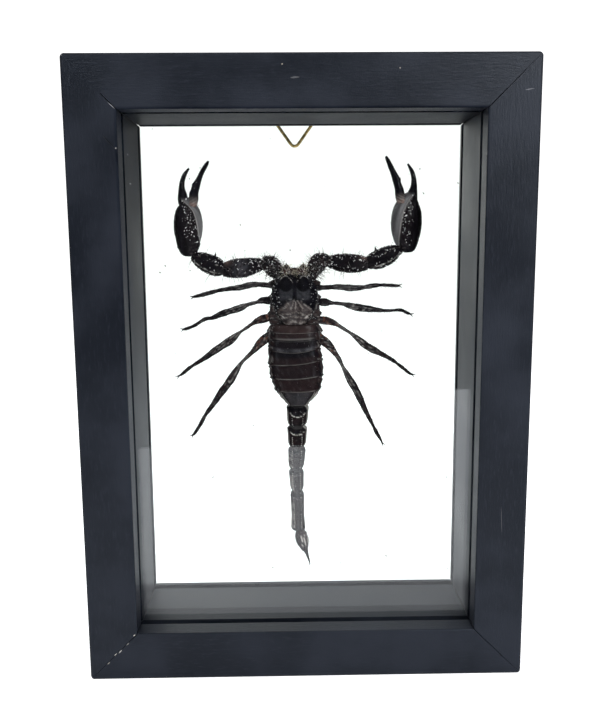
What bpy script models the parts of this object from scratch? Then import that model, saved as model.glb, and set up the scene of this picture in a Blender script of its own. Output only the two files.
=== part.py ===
"""Framed scorpion specimen: a black wooden double-glass frame with a forest scorpion set inside it.

Metres, +Z up. The origin is the centre of the frame's bottom face, the front faces -Y, and +X is to
the right as seen from the front. The scorpion hangs head up on the back pane, its back to the front.
Its tables are in millimetres: x and z as seen from the front, and depth behind the frame's front face.
"""

import math

import bmesh
import bpy
from mathutils import Vector

MM = 0.001
GAP = 0.3 * MM

FRAME_WIDTH = 160 * MM
FRAME_HEIGHT = 222 * MM
FRAME_DEPTH = 44 * MM
RAIL_WIDTH = 18 * MM
CORNER_RADIUS = 1.4 * MM
CORNER_STEPS = 3
# In degrees: a rounded corner is drawn from the rail's outer face to just short of the mitre.
CORNER_TURN = (90, 47)
OUTER_EASE = 0.8 * MM
INNER_EASE_SHARE = 0.5
KERF_WIDTH = 3.2 * MM
KERF_DEPTH = 4 * MM
FRONT_KERF_DEPTH = 7.4 * MM
BACK_KERF_DEPTH = 38.3 * MM
GLASS_THICKNESS = 2.4 * MM
GLASS_SIDE_PLAY = 0.5 * MM

RING_WIRE_RADIUS = 0.6 * MM
RING_WIDTH = 23 * MM
RING_DROP = 16 * MM
RING_CORNER_RADIUS = 1.8 * MM
RING_CENTRE_X = -2.4 * MM
RING_BEND_STEPS = 6
PIVOT_HEIGHT = 211.4 * MM
STRAP_WIDTH = 8 * MM
STRAP_THICKNESS = 1.4 * MM
STRAP_TOP = 219.6 * MM
LOOP_BORE_RADIUS = 0.95 * MM
LOOP_RADIUS = 1.65 * MM
# The loop's outside and bore: start and end in degrees, and steps.
LOOP_OUTSIDE = (180, 375, 12)
LOOP_BORE = (0, 330, 11)
# Where the two leaves of the strap close above the loop: height, and how far the front one still stands off.
NECK = (2.05 * MM, 0.5 * MM)
NECK_END = 2.9 * MM
SCREW_HEIGHT = 216.8 * MM
SCREW_HEAD_RADIUS = 2 * MM
SCREW_HEAD_RISE = 1.1 * MM
SCREW_SHANK_RADIUS = 0.9 * MM
SCREW_LENGTH = 9 * MM
SCREW_HOLE_RADIUS = 1.25 * MM
SCREW_RIM = 0.1 * MM
SCREW_DOME_STEPS = 4
SCREW_SIDES = 14

GLUE_HALF_WIDTH = 4 * MM
GLUE_HALF_HEIGHT = 6 * MM
GLUE_CENTRE = (-2.8 * MM, 114 * MM)
GLUE_SIDES = 20

FINISHES = {
    "black_paint": ((0.022, 0.023, 0.028), 0.38, 0.0),
    "clear_glass": ((0.85, 0.88, 0.87), 0.02, 0.0),
    "brass": ((0.50, 0.36, 0.14), 0.35, 1.0),
    "clear_glue": ((0.80, 0.78, 0.70), 0.25, 0.0),
    "dark_shell": ((0.018, 0.014, 0.016), 0.28, 0.0),
    "brown_shell": ((0.045, 0.020, 0.016), 0.35, 0.0),
}

# Half sections: (across, towards the viewer) on a unit section, from the back's middle to the belly's.
ABDOMEN_HALF = [(0, 1), (0.3, 0.98), (0.57, 0.88), (0.8, 0.66), (0.94, 0.38), (1, 0.12),
                (0.95, -0.06), (0.97, -0.32), (0.84, -0.7), (0.52, -0.95), (0, -1)]
TAIL_HALF = [(0, 0.82), (0.5, 1), (0.74, 0.74), (1, 0.5), (0.9, 0.02), (1, -0.42), (0.74, -0.76),
             (0.42, -1), (0, -0.86)]
HAND_HALF = [(0, 1), (0.38, 0.9), (0.62, 0.86), (0.88, 0.45), (1, 0), (0.86, -0.52), (0.48, -0.88), (0, -1)]
CORNERED_HALF = [(0, 0.86), (0.5, 1), (0.9, 0.62), (1, 0.1), (0.84, -0.6), (0.42, -0.96), (0, -1)]

# The head shield from its front edge back: height, half width of the shield and of the body under it,
# rise of the middle line and of the two lobes beside it, and how far the front edge is notched there.
HEAD_X = -3.0
HEAD_DEPTH = 32.2
HEAD_DROP = 4.7
HEAD_NOSE_DRAW = 0.35
HEAD_NOSE_LENGTH = 0.25
HEAD_ROWS = [
    (147.3, 4.9, 4.7, 1.3, 2.0, 1.5),
    (146.6, 6.0, 5.9, 2.2, 3.4, 1.3),
    (145.0, 7.2, 7.2, 3.0, 4.5, 0.6),
    (143.0, 8.1, 8.2, 3.8, 4.8, 0),
    (141.0, 8.5, 8.7, 4.3, 4.4, 0),
    (139.6, 8.7, 9.0, 5.2, 4.5, 0),
    (138.0, 8.6, 9.2, 4.5, 4.7, 0),
    (135.4, 8.1, 9.4, 4.2, 4.8, 0),
    (132.6, 7.0, 9.4, 4.1, 4.8, 0),
    (130.2, 5.4, 9.5, 4.2, 4.7, 0),
    (128.4, 4.2, 9.3, 4.1, 4.4, 0),
]

# Its section: across as a share of the shield's half width, height as a share of the lobe's rise. The body
# under it: across as a share of the body's half width, depth as a share of HEAD_DROP.
SHIELD_HALF = [(0.36, 1), (0.66, 0.82), (0.9, 0.46), (1, 0.22)]
SHIELD_EDGE_RISE = 0.6
BODY_HALF = [(1, 0.28), (0.78, 0.74), (0.4, 0.96), (0, 0.9)]

# Rear edge of each back plate of the abdomen: height, centre and half width, from the head shield down.
ABDOMEN_DEPTH = 32.4
ABDOMEN_RISE = 4.9
ABDOMEN_DROP = 4.7
PLATE_LIFT = 0.45
PLATE_SPREAD = 0.2
# Stations along one plate: share of its length, and how far its rear edge's lift has come.
PLATE_STATIONS = [(0.04, 0), (0.5, 0.55), (0.97, 1)]
ABDOMEN_FULL_AT = 8.0
PLATE_EDGES = [(128.05, -3.2, 9.5), (125.3, -3.1, 9.7), (122.2, -3.1, 9.8), (118.3, -2.9, 10.0),
               (112.8, -2.4, 10.1), (107.3, -2.0, 9.6), (102.2, -1.9, 8.2), (96.9, -2.1, 3.6)]

# The tail's joints: height, centre and half width of the segment that starts there.
TAIL_DEPTH = 33.4
TAIL_THICKNESS_SHARE = 0.88
TAIL_JOINTS = [(96.4, -2.1, 4.3), (88.0, -2.35, 3.9), (79.5, -2.5, 3.45), (70.3, -2.9, 2.9),
               (61.4, -2.6, 2.7), (44.9, -2.2, 2.7)]
TAIL_SWELL = [(0.02, 0.66), (0.12, 0.86), (0.32, 1), (0.74, 0.98), (0.92, 0.88)]

# Limbs hold (x, z, depth, half width, half thickness) from the body outwards.
ROUND_STEPS = 5
KNOBS_IN_FRONT_OF = 0.2
ARM_KNOBS = {"knobs": 0.4, "knob_rows": (1, 11)}
HAND_KNOBS = {"knobs": 0.32, "knob_rows": (3, 8)}
STINGER = [(-1.6, 44.5, 33.4, 1.4, 1.6), (-1.3, 43.4, 33.4, 2.2, 2.2), (-0.8, 41.4, 33.5, 2.6, 2.6),
           (-0.2, 39.2, 33.7, 2.4, 2.4), (0.2, 37.2, 33.9, 1.7, 1.8), (0.9, 35.2, 34.0, 0.9, 1.0),
           (1.4, 33.4, 34.1, 0.55, 0.6), (2.0, 31.4, 34.3, 0.4, 0.4), (2.4, 29.6, 34.7, 0.25, 0.25),
           (2.3, 28.6, 35.0, 0.12, 0.12)]
ARMS = {
    "left": [(-10.3, 148.0, 33.6, 1.9, 2.4), (-11.7, 151.0, 33.2, 3.4, 3.2), (-14.0, 151.6, 33.2, 2.8, 2.8),
             (-15.4, 151.5, 33.2, 2.0, 2.1), (-17.5, 151.0, 33.2, 2.6, 2.7), (-21.5, 150.2, 33.0, 3.5, 3.3),
             (-25.5, 149.9, 33.0, 3.5, 3.3), (-28.5, 149.6, 33.1, 2.8, 2.8), (-30.2, 149.6, 33.2, 2.3, 2.3),
             (-32.6, 150.4, 33.2, 3.5, 3.1), (-35.8, 151.8, 33.2, 3.6, 3.3), (-39.0, 153.6, 33.2, 2.8, 2.8),
             (-41.0, 154.3, 33.3, 1.5, 1.7)],
    "right": [(4.4, 148.1, 33.6, 1.9, 2.4), (6.1, 151.8, 33.2, 3.3, 3.2), (8.6, 152.6, 33.2, 2.7, 2.8),
              (10.1, 152.3, 33.2, 2.0, 2.1), (12.6, 152.1, 33.2, 2.8, 2.7), (16.5, 151.7, 33.0, 3.4, 3.3),
              (19.8, 151.5, 33.0, 3.4, 3.3), (23.0, 151.4, 33.1, 2.8, 2.8), (24.9, 151.4, 33.2, 2.4, 2.3),
              (27.8, 152.4, 33.2, 3.4, 3.1), (31.6, 153.8, 33.2, 3.6, 3.3), (34.8, 155.5, 33.2, 2.8, 2.8),
              (36.4, 156.4, 33.3, 1.5, 1.7)],
}
HANDS = {
    "left": [(-43.6, 155.3, 33.6, 1.2, 1.5), (-43.5, 156.2, 33.5, 2.6, 2.5), (-43.4, 158.0, 33.5, 3.8, 3.3),
             (-43.4, 160.4, 33.4, 4.6, 3.8), (-43.3, 163.4, 33.4, 5.3, 4.1), (-43.2, 166.8, 33.4, 5.5, 4.1),
             (-43.3, 170.2, 33.4, 5.1, 3.8), (-43.6, 172.8, 33.5, 4.2, 3.3), (-44.1, 174.6, 33.5, 3.1, 2.7),
             (-44.9, 176.0, 33.5, 2.1, 2.1), (-45.1, 178.0, 33.5, 1.7, 1.8), (-45.3, 180.2, 33.6, 1.2, 1.4),
             (-45.0, 182.8, 33.7, 0.95, 1.1), (-44.0, 185.3, 33.8, 0.65, 0.8),
             (-42.3, 187.6, 34.0, 0.2, 0.3)],
    "right": [(40.5, 155.8, 33.6, 1.2, 1.5), (40.4, 156.9, 33.5, 2.5, 2.5), (40.1, 158.6, 33.5, 3.6, 3.3),
              (39.6, 160.8, 33.4, 4.9, 3.8), (39.5, 163.8, 33.4, 5.6, 4.1), (39.6, 167.4, 33.4, 5.8, 4.1),
              (39.9, 170.8, 33.4, 5.4, 3.8), (40.4, 173.4, 33.5, 4.5, 3.3), (41.3, 175.2, 33.5, 3.0, 2.7),
              (42.0, 176.8, 33.5, 1.9, 2.1), (42.4, 178.8, 33.5, 1.5, 1.8), (42.6, 180.8, 33.6, 1.2, 1.4),
              (42.5, 183.2, 33.7, 0.95, 1.1), (41.8, 185.9, 33.8, 0.65, 0.8), (40.1, 188.8, 34.0, 0.2, 0.3)],
}
FINGERS = {
    "left": [(-40.2, 176.4, 33.4, 1.1, 1.4), (-40.7, 177.6, 33.3, 1.6, 1.8), (-40.3, 179.4, 33.2, 1.55, 1.6),
             (-39.7, 181.2, 33.2, 1.45, 1.4), (-38.7, 183.4, 33.3, 1.05, 1.2), (-37.5, 186.0, 33.4, 0.9, 1.0),
             (-36.0, 188.4, 33.6, 0.65, 0.7), (-34.9, 190.2, 33.8, 0.2, 0.25)],
    "right": [(36.8, 176.9, 33.4, 1.2, 1.4), (37.1, 178.0, 33.3, 1.7, 1.8), (36.9, 179.4, 33.2, 1.65, 1.6),
              (36.3, 181.2, 33.2, 1.45, 1.4), (35.8, 182.9, 33.2, 1.5, 1.3), (34.8, 185.2, 33.3, 1.15, 1.1),
              (33.6, 187.8, 33.5, 0.95, 0.9), (32.6, 190.0, 33.7, 0.6, 0.6), (31.9, 191.6, 33.9, 0.2, 0.25)],
}
JAWS = {
    "left": [(-4.9, 147.8, 33.0, 1.7, 1.6), (-5.1, 148.8, 32.7, 1.95, 2.1), (-5.2, 150.2, 32.6, 1.8, 2.0),
             (-5.5, 151.2, 32.8, 1.1, 1.3), (-6.0, 152.0, 33.2, 0.3, 0.4)],
    "right": [(-1.0, 147.8, 33.0, 1.7, 1.6), (-0.8, 148.8, 32.7, 1.95, 2.1), (-0.7, 150.2, 32.6, 1.8, 2.0),
              (-0.4, 151.2, 32.8, 1.1, 1.3), (0.1, 152.0, 33.2, 0.3, 0.4)],
}

# Legs: hip, mid thigh, knee, mid shin, ankle and tip, as (x, z), with the girth of the stout parts.
LEG_ROUTES = {
    "leg_left_1": (1.15, [(-12.1, 143.3), (-16.2, 143.8), (-20.6, 143.5), (-28.0, 142.1), (-36.3, 140.4),
                          (-43.0, 138.6)]),
    "leg_left_2": (1.40, [(-12.9, 137.4), (-18.6, 136.7), (-24.6, 134.6), (-31.5, 132.2), (-39.4, 129.4),
                          (-47.3, 125.9)]),
    "leg_left_3": (1.55, [(-13.4, 130.9), (-20.3, 128.0), (-28.0, 122.2), (-35.5, 117.1), (-43.4, 111.7),
                          (-50.1, 107.0)]),
    "leg_left_4": (1.65, [(-13.8, 123.4), (-21.4, 115.8), (-27.5, 107.9), (-33.6, 99.2), (-39.8, 90.2),
                          (-45.1, 83.0)]),
    "leg_right_1": (1.15, [(6.1, 142.4), (12.0, 142.6), (18.6, 142.1), (25.0, 142.4), (32.0, 142.9),
                           (38.6, 142.4)]),
    "leg_right_2": (1.40, [(6.9, 136.7), (13.8, 136.0), (20.6, 134.7), (27.6, 133.5), (35.4, 133.1),
                           (43.5, 131.1)]),
    "leg_right_3": (1.55, [(7.4, 129.9), (14.8, 127.0), (22.6, 121.5), (30.0, 116.6), (37.6, 111.7),
                           (44.6, 106.9)]),
    "leg_right_4": (1.65, [(7.9, 122.4), (14.4, 114.2), (18.9, 105.6), (24.0, 95.4), (28.8, 85.2),
                           (32.7, 78.2)]),
}
LEG_DEPTHS = [33.9, 33.0, 33.2, 34.4, 36.4, 37.9]
# Girth along a leg: place counted in route points from the hip, and share of the stout girth.
LEG_GIRTHS = [(0, 0.95), (0.35, 1), (0.7, 0.72), (1.05, 0.44), (1.5, 0.46), (1.9, 0.9), (2.1, 1),
              (2.5, 0.94), (2.95, 0.86), (3.25, 0.66), (3.7, 0.52), (4.05, 0.4), (4.3, 0.48), (4.7, 0.38),
              (5, 0.16)]


def clear_scene():
    """Removes every object already in the file."""
    for item in list(bpy.data.objects):
        bpy.data.objects.remove(item, do_unlink=True)


def new_collection(name):
    """A collection linked to the scene."""
    collection = bpy.data.collections.new(name)
    bpy.context.scene.collection.children.link(collection)
    return collection


def new_material(node_name, finish):
    """The node's own Principled material in one of the named finishes."""
    colour, roughness, metallic = FINISHES[finish]
    material = bpy.data.materials.new(node_name + "_material")
    material.use_nodes = True
    shader = material.node_tree.nodes["Principled BSDF"]
    shader.inputs["Base Color"].default_value = (*colour, 1)
    shader.inputs["Roughness"].default_value = roughness
    shader.inputs["Metallic"].default_value = metallic
    return material


def add_object(name, data, finish):
    """Links an object that is one node of the model."""
    item = bpy.data.objects.new(name, data)
    MODEL.objects.link(item)
    item.data.materials.append(new_material(name, finish))
    return item


def add_cutter(name, mesh):
    """Links a guide that only cuts other objects."""
    item = bpy.data.objects.new(name, mesh)
    CUTTERS.objects.link(item)
    item.hide_render = True
    item.display_type = "WIRE"
    return item


def finished_mesh(name, bm):
    """Turns a bmesh into a mesh and frees it."""
    mesh = bpy.data.meshes.new(name)
    bm.to_mesh(mesh)
    bm.free()
    return mesh


def box_mesh(name, low, high):
    """A box between two corners."""
    bm = bmesh.new()
    bmesh.ops.create_cube(bm, size=1)
    low, high = Vector(low), Vector(high)
    for vertex in bm.verts:
        vertex.co = Vector([low[i] if vertex.co[i] < 0 else high[i] for i in range(3)])
    return finished_mesh(name, bm)


def cylinder_mesh(name, radius, length, sides):
    """A closed cylinder about Z, centred on its origin."""
    bm = bmesh.new()
    bmesh.ops.create_cone(bm, cap_ends=True, segments=sides, radius1=radius, radius2=radius, depth=length)
    return finished_mesh(name, bm)


def cut(item, cutter):
    """Takes a cutter's shape out of an object."""
    modifier = item.modifiers.new("cut_" + cutter.name, "BOOLEAN")
    modifier.operation = "DIFFERENCE"
    modifier.object = cutter
    modifier.solver = "EXACT"


def shade(item, angle=35):
    """Smooth shading, kept sharp across strong edges."""
    item.data.shade_smooth()
    item.data.set_sharp_from_angle(angle=math.radians(angle))


def arc(centre, radius, start, end, steps):
    """Points on an arc from start to end, in degrees."""
    turns = [math.radians(start + (end - start) * i / steps) for i in range(steps + 1)]
    return [(centre[0] + radius * math.cos(t), centre[1] + radius * math.sin(t)) for t in turns]


def rail(name, outer_length, offset, turn):
    """A mitred rail: its outline stands in the frame's plane and its outer edges are eased."""
    mitre_play = GAP / math.sqrt(2)
    end = outer_length / 2 - mitre_play
    outer, inner = RAIL_WIDTH / 2, -RAIL_WIDTH / 2
    corner = (outer_length / 2 - CORNER_RADIUS, outer - CORNER_RADIUS)
    rounded = arc(corner, CORNER_RADIUS, *CORNER_TURN, CORNER_STEPS)
    half = [(end - RAIL_WIDTH, inner)] + list(reversed(rounded))
    outline = half + [(-x, z) for x, z in reversed(half)]
    front, back = -FRAME_DEPTH / 2, FRAME_DEPTH / 2

    bm = bmesh.new()
    face = bm.faces.new([bm.verts.new((x, front, z)) for x, z in outline])
    moved = bmesh.ops.extrude_face_region(bm, geom=[face])["geom"]
    far = [part for part in moved if isinstance(part, bmesh.types.BMVert)]
    bmesh.ops.translate(bm, verts=far, vec=(0, back - front, 0))
    bmesh.ops.recalc_face_normals(bm, faces=bm.faces)
    weights = bm.edges.layers.float.new("bevel_weight_edge")
    for edge in bm.edges:
        a, b = (vertex.co for vertex in edge.verts)
        if abs(a.y - b.y) > MM:
            continue
        if a.z < inner + GAP and b.z < inner + GAP:
            edge[weights] = INNER_EASE_SHARE
        elif min(a.z, b.z) > outer - CORNER_RADIUS:
            edge[weights] = 1.0
    item = add_object(name, finished_mesh(name, bm), "black_paint")
    item.rotation_euler = (0, math.radians(turn), 0)
    outward = Vector((math.sin(math.radians(turn)), 0, math.cos(math.radians(turn))))
    item.location = Vector((0, 0, FRAME_HEIGHT / 2)) + outward * offset
    ease = item.modifiers.new("eased_edges", "BEVEL")
    ease.limit_method = "WEIGHT"
    ease.width = OUTER_EASE
    ease.segments = 2
    return item


def kerf_cutter(name, depth):
    """A plate that cuts one glazing kerf round the inside of the frame."""
    half_width = FRAME_WIDTH / 2 - RAIL_WIDTH + KERF_DEPTH
    low = (-half_width, depth - FRAME_DEPTH / 2, RAIL_WIDTH - KERF_DEPTH)
    high = (half_width, low[1] + KERF_WIDTH, FRAME_HEIGHT - RAIL_WIDTH + KERF_DEPTH)
    return add_cutter(name, box_mesh(name, low, high))


def build_frame():
    """Four mitred rails with a kerf for each pane."""
    across, up = (FRAME_WIDTH - RAIL_WIDTH) / 2, (FRAME_HEIGHT - RAIL_WIDTH) / 2
    rails = {
        "rail_top": rail("rail_top", FRAME_WIDTH, up, 0),
        "rail_right": rail("rail_right", FRAME_HEIGHT, across, 90),
        "rail_bottom": rail("rail_bottom", FRAME_WIDTH, up, 180),
        "rail_left": rail("rail_left", FRAME_HEIGHT, across, -90),
    }
    kerfs = [kerf_cutter("front_kerf", FRONT_KERF_DEPTH), kerf_cutter("back_kerf", BACK_KERF_DEPTH)]
    for item in rails.values():
        for cutter in kerfs:
            cut(item, cutter)
    return rails


def build_glass():
    """Two loose panes, each standing on the floor of its kerf."""
    half_width = FRAME_WIDTH / 2 - RAIL_WIDTH + KERF_DEPTH - GLASS_SIDE_PLAY
    floor = RAIL_WIDTH - KERF_DEPTH + GAP
    top = FRAME_HEIGHT - RAIL_WIDTH + KERF_DEPTH - 2 * GLASS_SIDE_PLAY
    for name, depth in (("glass_front", FRONT_KERF_DEPTH), ("glass_back", BACK_KERF_DEPTH)):
        face = depth - FRAME_DEPTH / 2 + (KERF_WIDTH - GLASS_THICKNESS) / 2
        low, high = (-half_width, face, floor), (half_width, face + GLASS_THICKNESS, top)
        add_object(name, box_mesh(name, low, high), "clear_glass")


def mesh_from_curve(item):
    """Replaces a curve by its welded mesh, so that it can be cut."""
    evaluated = item.evaluated_get(bpy.context.evaluated_depsgraph_get())
    mesh = bpy.data.meshes.new_from_object(evaluated)
    bm = bmesh.new()
    bm.from_mesh(mesh)
    bmesh.ops.remove_doubles(bm, verts=bm.verts, dist=0.00001)
    bm.to_mesh(mesh)
    bm.free()
    name, place = item.name, item.matrix_world.copy()
    bpy.data.objects.remove(item, do_unlink=True)
    solid = bpy.data.objects.new(name, mesh)
    MODEL.objects.link(solid)
    solid.matrix_world = place
    return solid


def flat_curve(name, outlines, half_thickness):
    """A filled 2D curve whose later outlines are holes in the first."""
    curve = bpy.data.curves.new(name, "CURVE")
    curve.dimensions = "2D"
    curve.fill_mode = "BOTH"
    curve.extrude = half_thickness
    for outline in outlines:
        spline = curve.splines.new("POLY")
        spline.points.add(len(outline) - 1)
        for point, (x, y) in zip(spline.points, outline):
            point.co = (x, y, 0, 1)
        spline.use_cyclic_u = True
    return curve


def build_strap(pivot):
    """A strap folded round the ring's flat side, as a P-shaped section drawn in the plane across it."""
    back = -LOOP_RADIUS
    outer = arc((0, 0), LOOP_RADIUS, *LOOP_OUTSIDE)
    leaf = back + STRAP_THICKNESS
    top = STRAP_TOP - pivot.z
    outer += [(leaf + NECK[1], NECK[0]), (leaf, NECK_END), (leaf, top), (back, top)]
    bore = arc((0, 0), LOOP_BORE_RADIUS, *LOOP_BORE)
    item = add_object("hanger_strap", flat_curve("hanger_strap", [outer, bore], STRAP_WIDTH / 2), "brass")
    # Turned so that the drawn x and y run along the frame's depth and height.
    item.rotation_euler = (math.radians(90), 0, math.radians(90))
    item.location = pivot
    bpy.context.view_layer.update()
    return mesh_from_curve(item)


def build_screw(head_face):
    """A round-headed screw, turned about the line that it is driven along."""
    turns = [math.radians(90 * i / SCREW_DOME_STEPS) for i in range(SCREW_DOME_STEPS + 1)]
    dome = [(SCREW_HEAD_RADIUS * math.sin(turn), SCREW_HEAD_RISE * math.cos(turn)) for turn in turns]
    profile = dome + [(SCREW_HEAD_RADIUS, -SCREW_RIM), (SCREW_SHANK_RADIUS, -SCREW_RIM),
                      (SCREW_SHANK_RADIUS, SCREW_SHANK_RADIUS - SCREW_LENGTH), (0, -SCREW_LENGTH)]
    mesh = bpy.data.meshes.new("hanger_screw")
    mesh.from_pydata([(x, 0, z) for x, z in profile], [(i, i + 1) for i in range(len(profile) - 1)], [])
    item = add_object("hanger_screw", mesh, "brass")
    turned = item.modifiers.new("turned", "SCREW")
    turned.steps = SCREW_SIDES
    turned.render_steps = SCREW_SIDES
    turned.use_merge_vertices = True
    turned.merge_threshold = 0.00001
    item.rotation_euler = (math.radians(-90), 0, 0)
    item.location = (RING_CENTRE_X, head_face, SCREW_HEIGHT)


def build_ring(pivot):
    """A wire triangle whose flat side lies in the strap, hanging point down from an empty on its axis."""
    slope = math.atan2(RING_WIDTH / 2, RING_DROP)
    apex_swing = 90 - math.degrees(slope)
    side_angle = math.degrees(slope)
    inset = RING_CORNER_RADIUS
    # The rounding arcs' centres stand back from the sharp corners along their bisectors.
    apex_centre = (0, -RING_DROP + inset / math.sin(slope))
    half_corner = (math.pi / 2 - slope) / 2
    corner_x = RING_WIDTH / 2 - inset / math.tan(half_corner)
    route = arc(apex_centre, inset, -90 - apex_swing, -90 + apex_swing, RING_BEND_STEPS)
    route += arc((corner_x, -inset), inset, -side_angle, 90, RING_BEND_STEPS)
    route += arc((-corner_x, -inset), inset, 90, 180 + side_angle, RING_BEND_STEPS)
    curve = bpy.data.curves.new("hanger_ring", "CURVE")
    curve.dimensions = "3D"
    curve.bevel_depth = RING_WIRE_RADIUS
    curve.bevel_resolution = 2
    curve.use_fill_caps = True
    spline = curve.splines.new("POLY")
    spline.points.add(len(route) - 1)
    for point, (x, z) in zip(spline.points, route):
        point.co = (x, 0, z, 1)
    spline.use_cyclic_u = True
    axis = bpy.data.objects.new("hanger_ring_axis", None)
    MODEL.objects.link(axis)
    axis.location = pivot
    item = add_object("hanger_ring", curve, "brass")
    item.parent = axis


def build_hanger(top_rail):
    """The strap hanger on the back of the top rail, with its ring and screw."""
    back = FRAME_DEPTH / 2
    pivot = Vector((RING_CENTRE_X, back + GAP + LOOP_RADIUS, PIVOT_HEIGHT))
    strap = build_strap(pivot)
    drill = cylinder_mesh("screw_hole", SCREW_HOLE_RADIUS, 2 * SCREW_LENGTH, SCREW_SIDES)
    hole = add_cutter("screw_hole", drill)
    hole.rotation_euler = (math.radians(-90), 0, 0)
    hole.location = (RING_CENTRE_X, back, SCREW_HEIGHT)
    cut(strap, hole)
    cut(top_rail, hole)
    build_screw(back + GAP + STRAP_THICKNESS + GAP + SCREW_RIM)
    build_ring(pivot)


def both_sides(half):
    """A whole section from one half that starts and ends on the middle line."""
    return half + [(-across, front) for across, front in reversed(half[1:-1])]


def round_half(steps):
    """Half of a round section."""
    return [(math.sin(math.pi * i / steps), math.cos(math.pi * i / steps)) for i in range(steps + 1)]


def world(x, depth, z):
    """A place in the millimetre tables, as metres in the model's frame."""
    return Vector((x * MM, depth * MM - FRAME_DEPTH / 2, z * MM))


def loft(name, rings, finish):
    """One closed body through rings of equal counts, each end closed by a fan."""
    bm = bmesh.new()
    loops = [[bm.verts.new(point) for point in ring] for ring in rings]
    count = len(loops[0])
    for low, high in zip(loops, loops[1:]):
        for k in range(count):
            bm.faces.new((low[k], low[(k + 1) % count], high[(k + 1) % count], high[k]))
    for loop in (loops[0], loops[-1]):
        hub = bm.verts.new(sum((vertex.co for vertex in loop), Vector()) / count)
        for k in range(count):
            bm.faces.new((hub, loop[k], loop[(k + 1) % count]))
    bmesh.ops.recalc_face_normals(bm, faces=bm.faces)
    item = add_object(name, finished_mesh(name, bm), finish)
    shade(item)
    return item


def section(x, z, depth, half_width, rise, drop, along, outline):
    """A ring about one place of a limb that runs along a direction seen from the front."""
    side = Vector((-along[1], along[0]))
    points = []
    for across, front in outline:
        shift = side * across * half_width
        reach = rise if front > 0 else drop
        points.append(world(x + shift.x, depth - front * reach, z + shift.y))
    return points


def smooth_value(values, place):
    """A value on the smooth curve through a list, with place counted in its entries."""
    i = min(int(place), len(values) - 2)
    t = place - i
    p0, p1, p2, p3 = (values[min(max(k, 0), len(values) - 1)] for k in range(i - 1, i + 3))
    return 0.5 * (2 * p1 + (p2 - p0) * t + (2 * p0 - 5 * p1 + 4 * p2 - p3) * t * t
                  + (3 * p1 - p0 - 3 * p2 + p3) * t * t * t)


def along_route(route, place):
    """An entry on the smooth curve through a route's entries."""
    return tuple(smooth_value(values, place) for values in zip(*route))


def limb(name, route, half_outline, finish, rows_between=1, knobs=0.0, knob_rows=(0, 0)):
    """A limb through its stations. Knobs raise every other point of its front between two stations."""
    outline = both_sides(half_outline)
    stations = [along_route(route, i / rows_between) for i in range((len(route) - 1) * rows_between + 1)]
    knob_rows = [row * rows_between for row in knob_rows]
    rings = []
    for i, (x, z, depth, half_width, half_thickness) in enumerate(stations):
        before, after = stations[max(i - 1, 0)], stations[min(i + 1, len(stations) - 1)]
        along = Vector((after[0] - before[0], after[1] - before[1])).normalized()
        knobbed = knob_rows[0] <= i <= knob_rows[1]
        swollen = []
        for k, (across, front) in enumerate(outline):
            lift = 1 + knobs / half_width if knobbed and front > KNOBS_IN_FRONT_OF and (i + k) % 2 else 1
            swollen.append((across * lift, front * lift))
        rings.append(section(x, z, depth, half_width, half_thickness, half_thickness, along, swollen))
    return loft(name, rings, finish)


def build_head():
    """The head shield with its notched front, two smooth lobes and eye ridge, over the leg bases."""
    rings = []
    for z, shield, body, middle, lobe, notch in HEAD_ROWS:
        half = [(0, middle), (0.14 * shield, 0.96 * middle)]
        half += [(across * shield, rise * lobe) for across, rise in SHIELD_HALF]
        half += [(body, min(SHIELD_EDGE_RISE, 0.12 * lobe))]
        half += [(across * body, -drop * HEAD_DROP) for across, drop in BODY_HALF]
        ring = []
        for across, front in both_sides(half):
            back_step = notch * max(0, 1 - abs(across) / (0.5 * shield)) if front > 0 else 0
            ring.append(world(HEAD_X + across, HEAD_DEPTH - front, z - back_step))
        rings.append(ring)
    nose = rings[0]
    hub = sum(nose, Vector()) / len(nose)
    front_end = [point.lerp(hub, HEAD_NOSE_DRAW) + Vector((0, 0, HEAD_NOSE_LENGTH * MM)) for point in nose]
    loft("scorpion_head_shield", [front_end] + rings, "dark_shell")


def build_abdomen():
    """Seven back plates, each overlapping the next like a roof tile."""
    outline = both_sides(ABDOMEN_HALF)
    rings = []
    for (z0, x0, w0), (z1, x1, w1) in zip(PLATE_EDGES, PLATE_EDGES[1:]):
        for share, lift in PLATE_STATIONS:
            z, x, w = z0 + (z1 - z0) * share, x0 + (x1 - x0) * share, w0 + (w1 - w0) * share
            # The last plate thins towards the tail.
            slim = min(1, 0.5 + 0.5 * w / ABDOMEN_FULL_AT)
            rise = ABDOMEN_RISE * slim + PLATE_LIFT * lift
            drop = ABDOMEN_DROP * slim
            rings.append(section(x, z, ABDOMEN_DEPTH, w + PLATE_SPREAD * lift, rise, drop, (0, -1), outline))
    loft("scorpion_abdomen", rings, "brown_shell")


def build_tail():
    """Five keeled segments, pinched where they join."""
    outline = both_sides(TAIL_HALF)
    rings = []
    for (z0, x0, width), (z1, x1, next_width) in zip(TAIL_JOINTS, TAIL_JOINTS[1:]):
        for share, swell in TAIL_SWELL:
            z, x = z0 + (z1 - z0) * share, x0 + (x1 - x0) * share
            half = (width + (next_width - width) * share * 0.5) * swell
            thick = half * TAIL_THICKNESS_SHARE
            rings.append(section(x, z, TAIL_DEPTH, half, thick, thick, (0, -1), outline))
    z, x, width = TAIL_JOINTS[-1]
    end = width * TAIL_SWELL[0][1]
    rings.append(section(x, z, TAIL_DEPTH, end, end, end, (0, -1), outline))
    loft("scorpion_tail", rings, "dark_shell")


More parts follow.
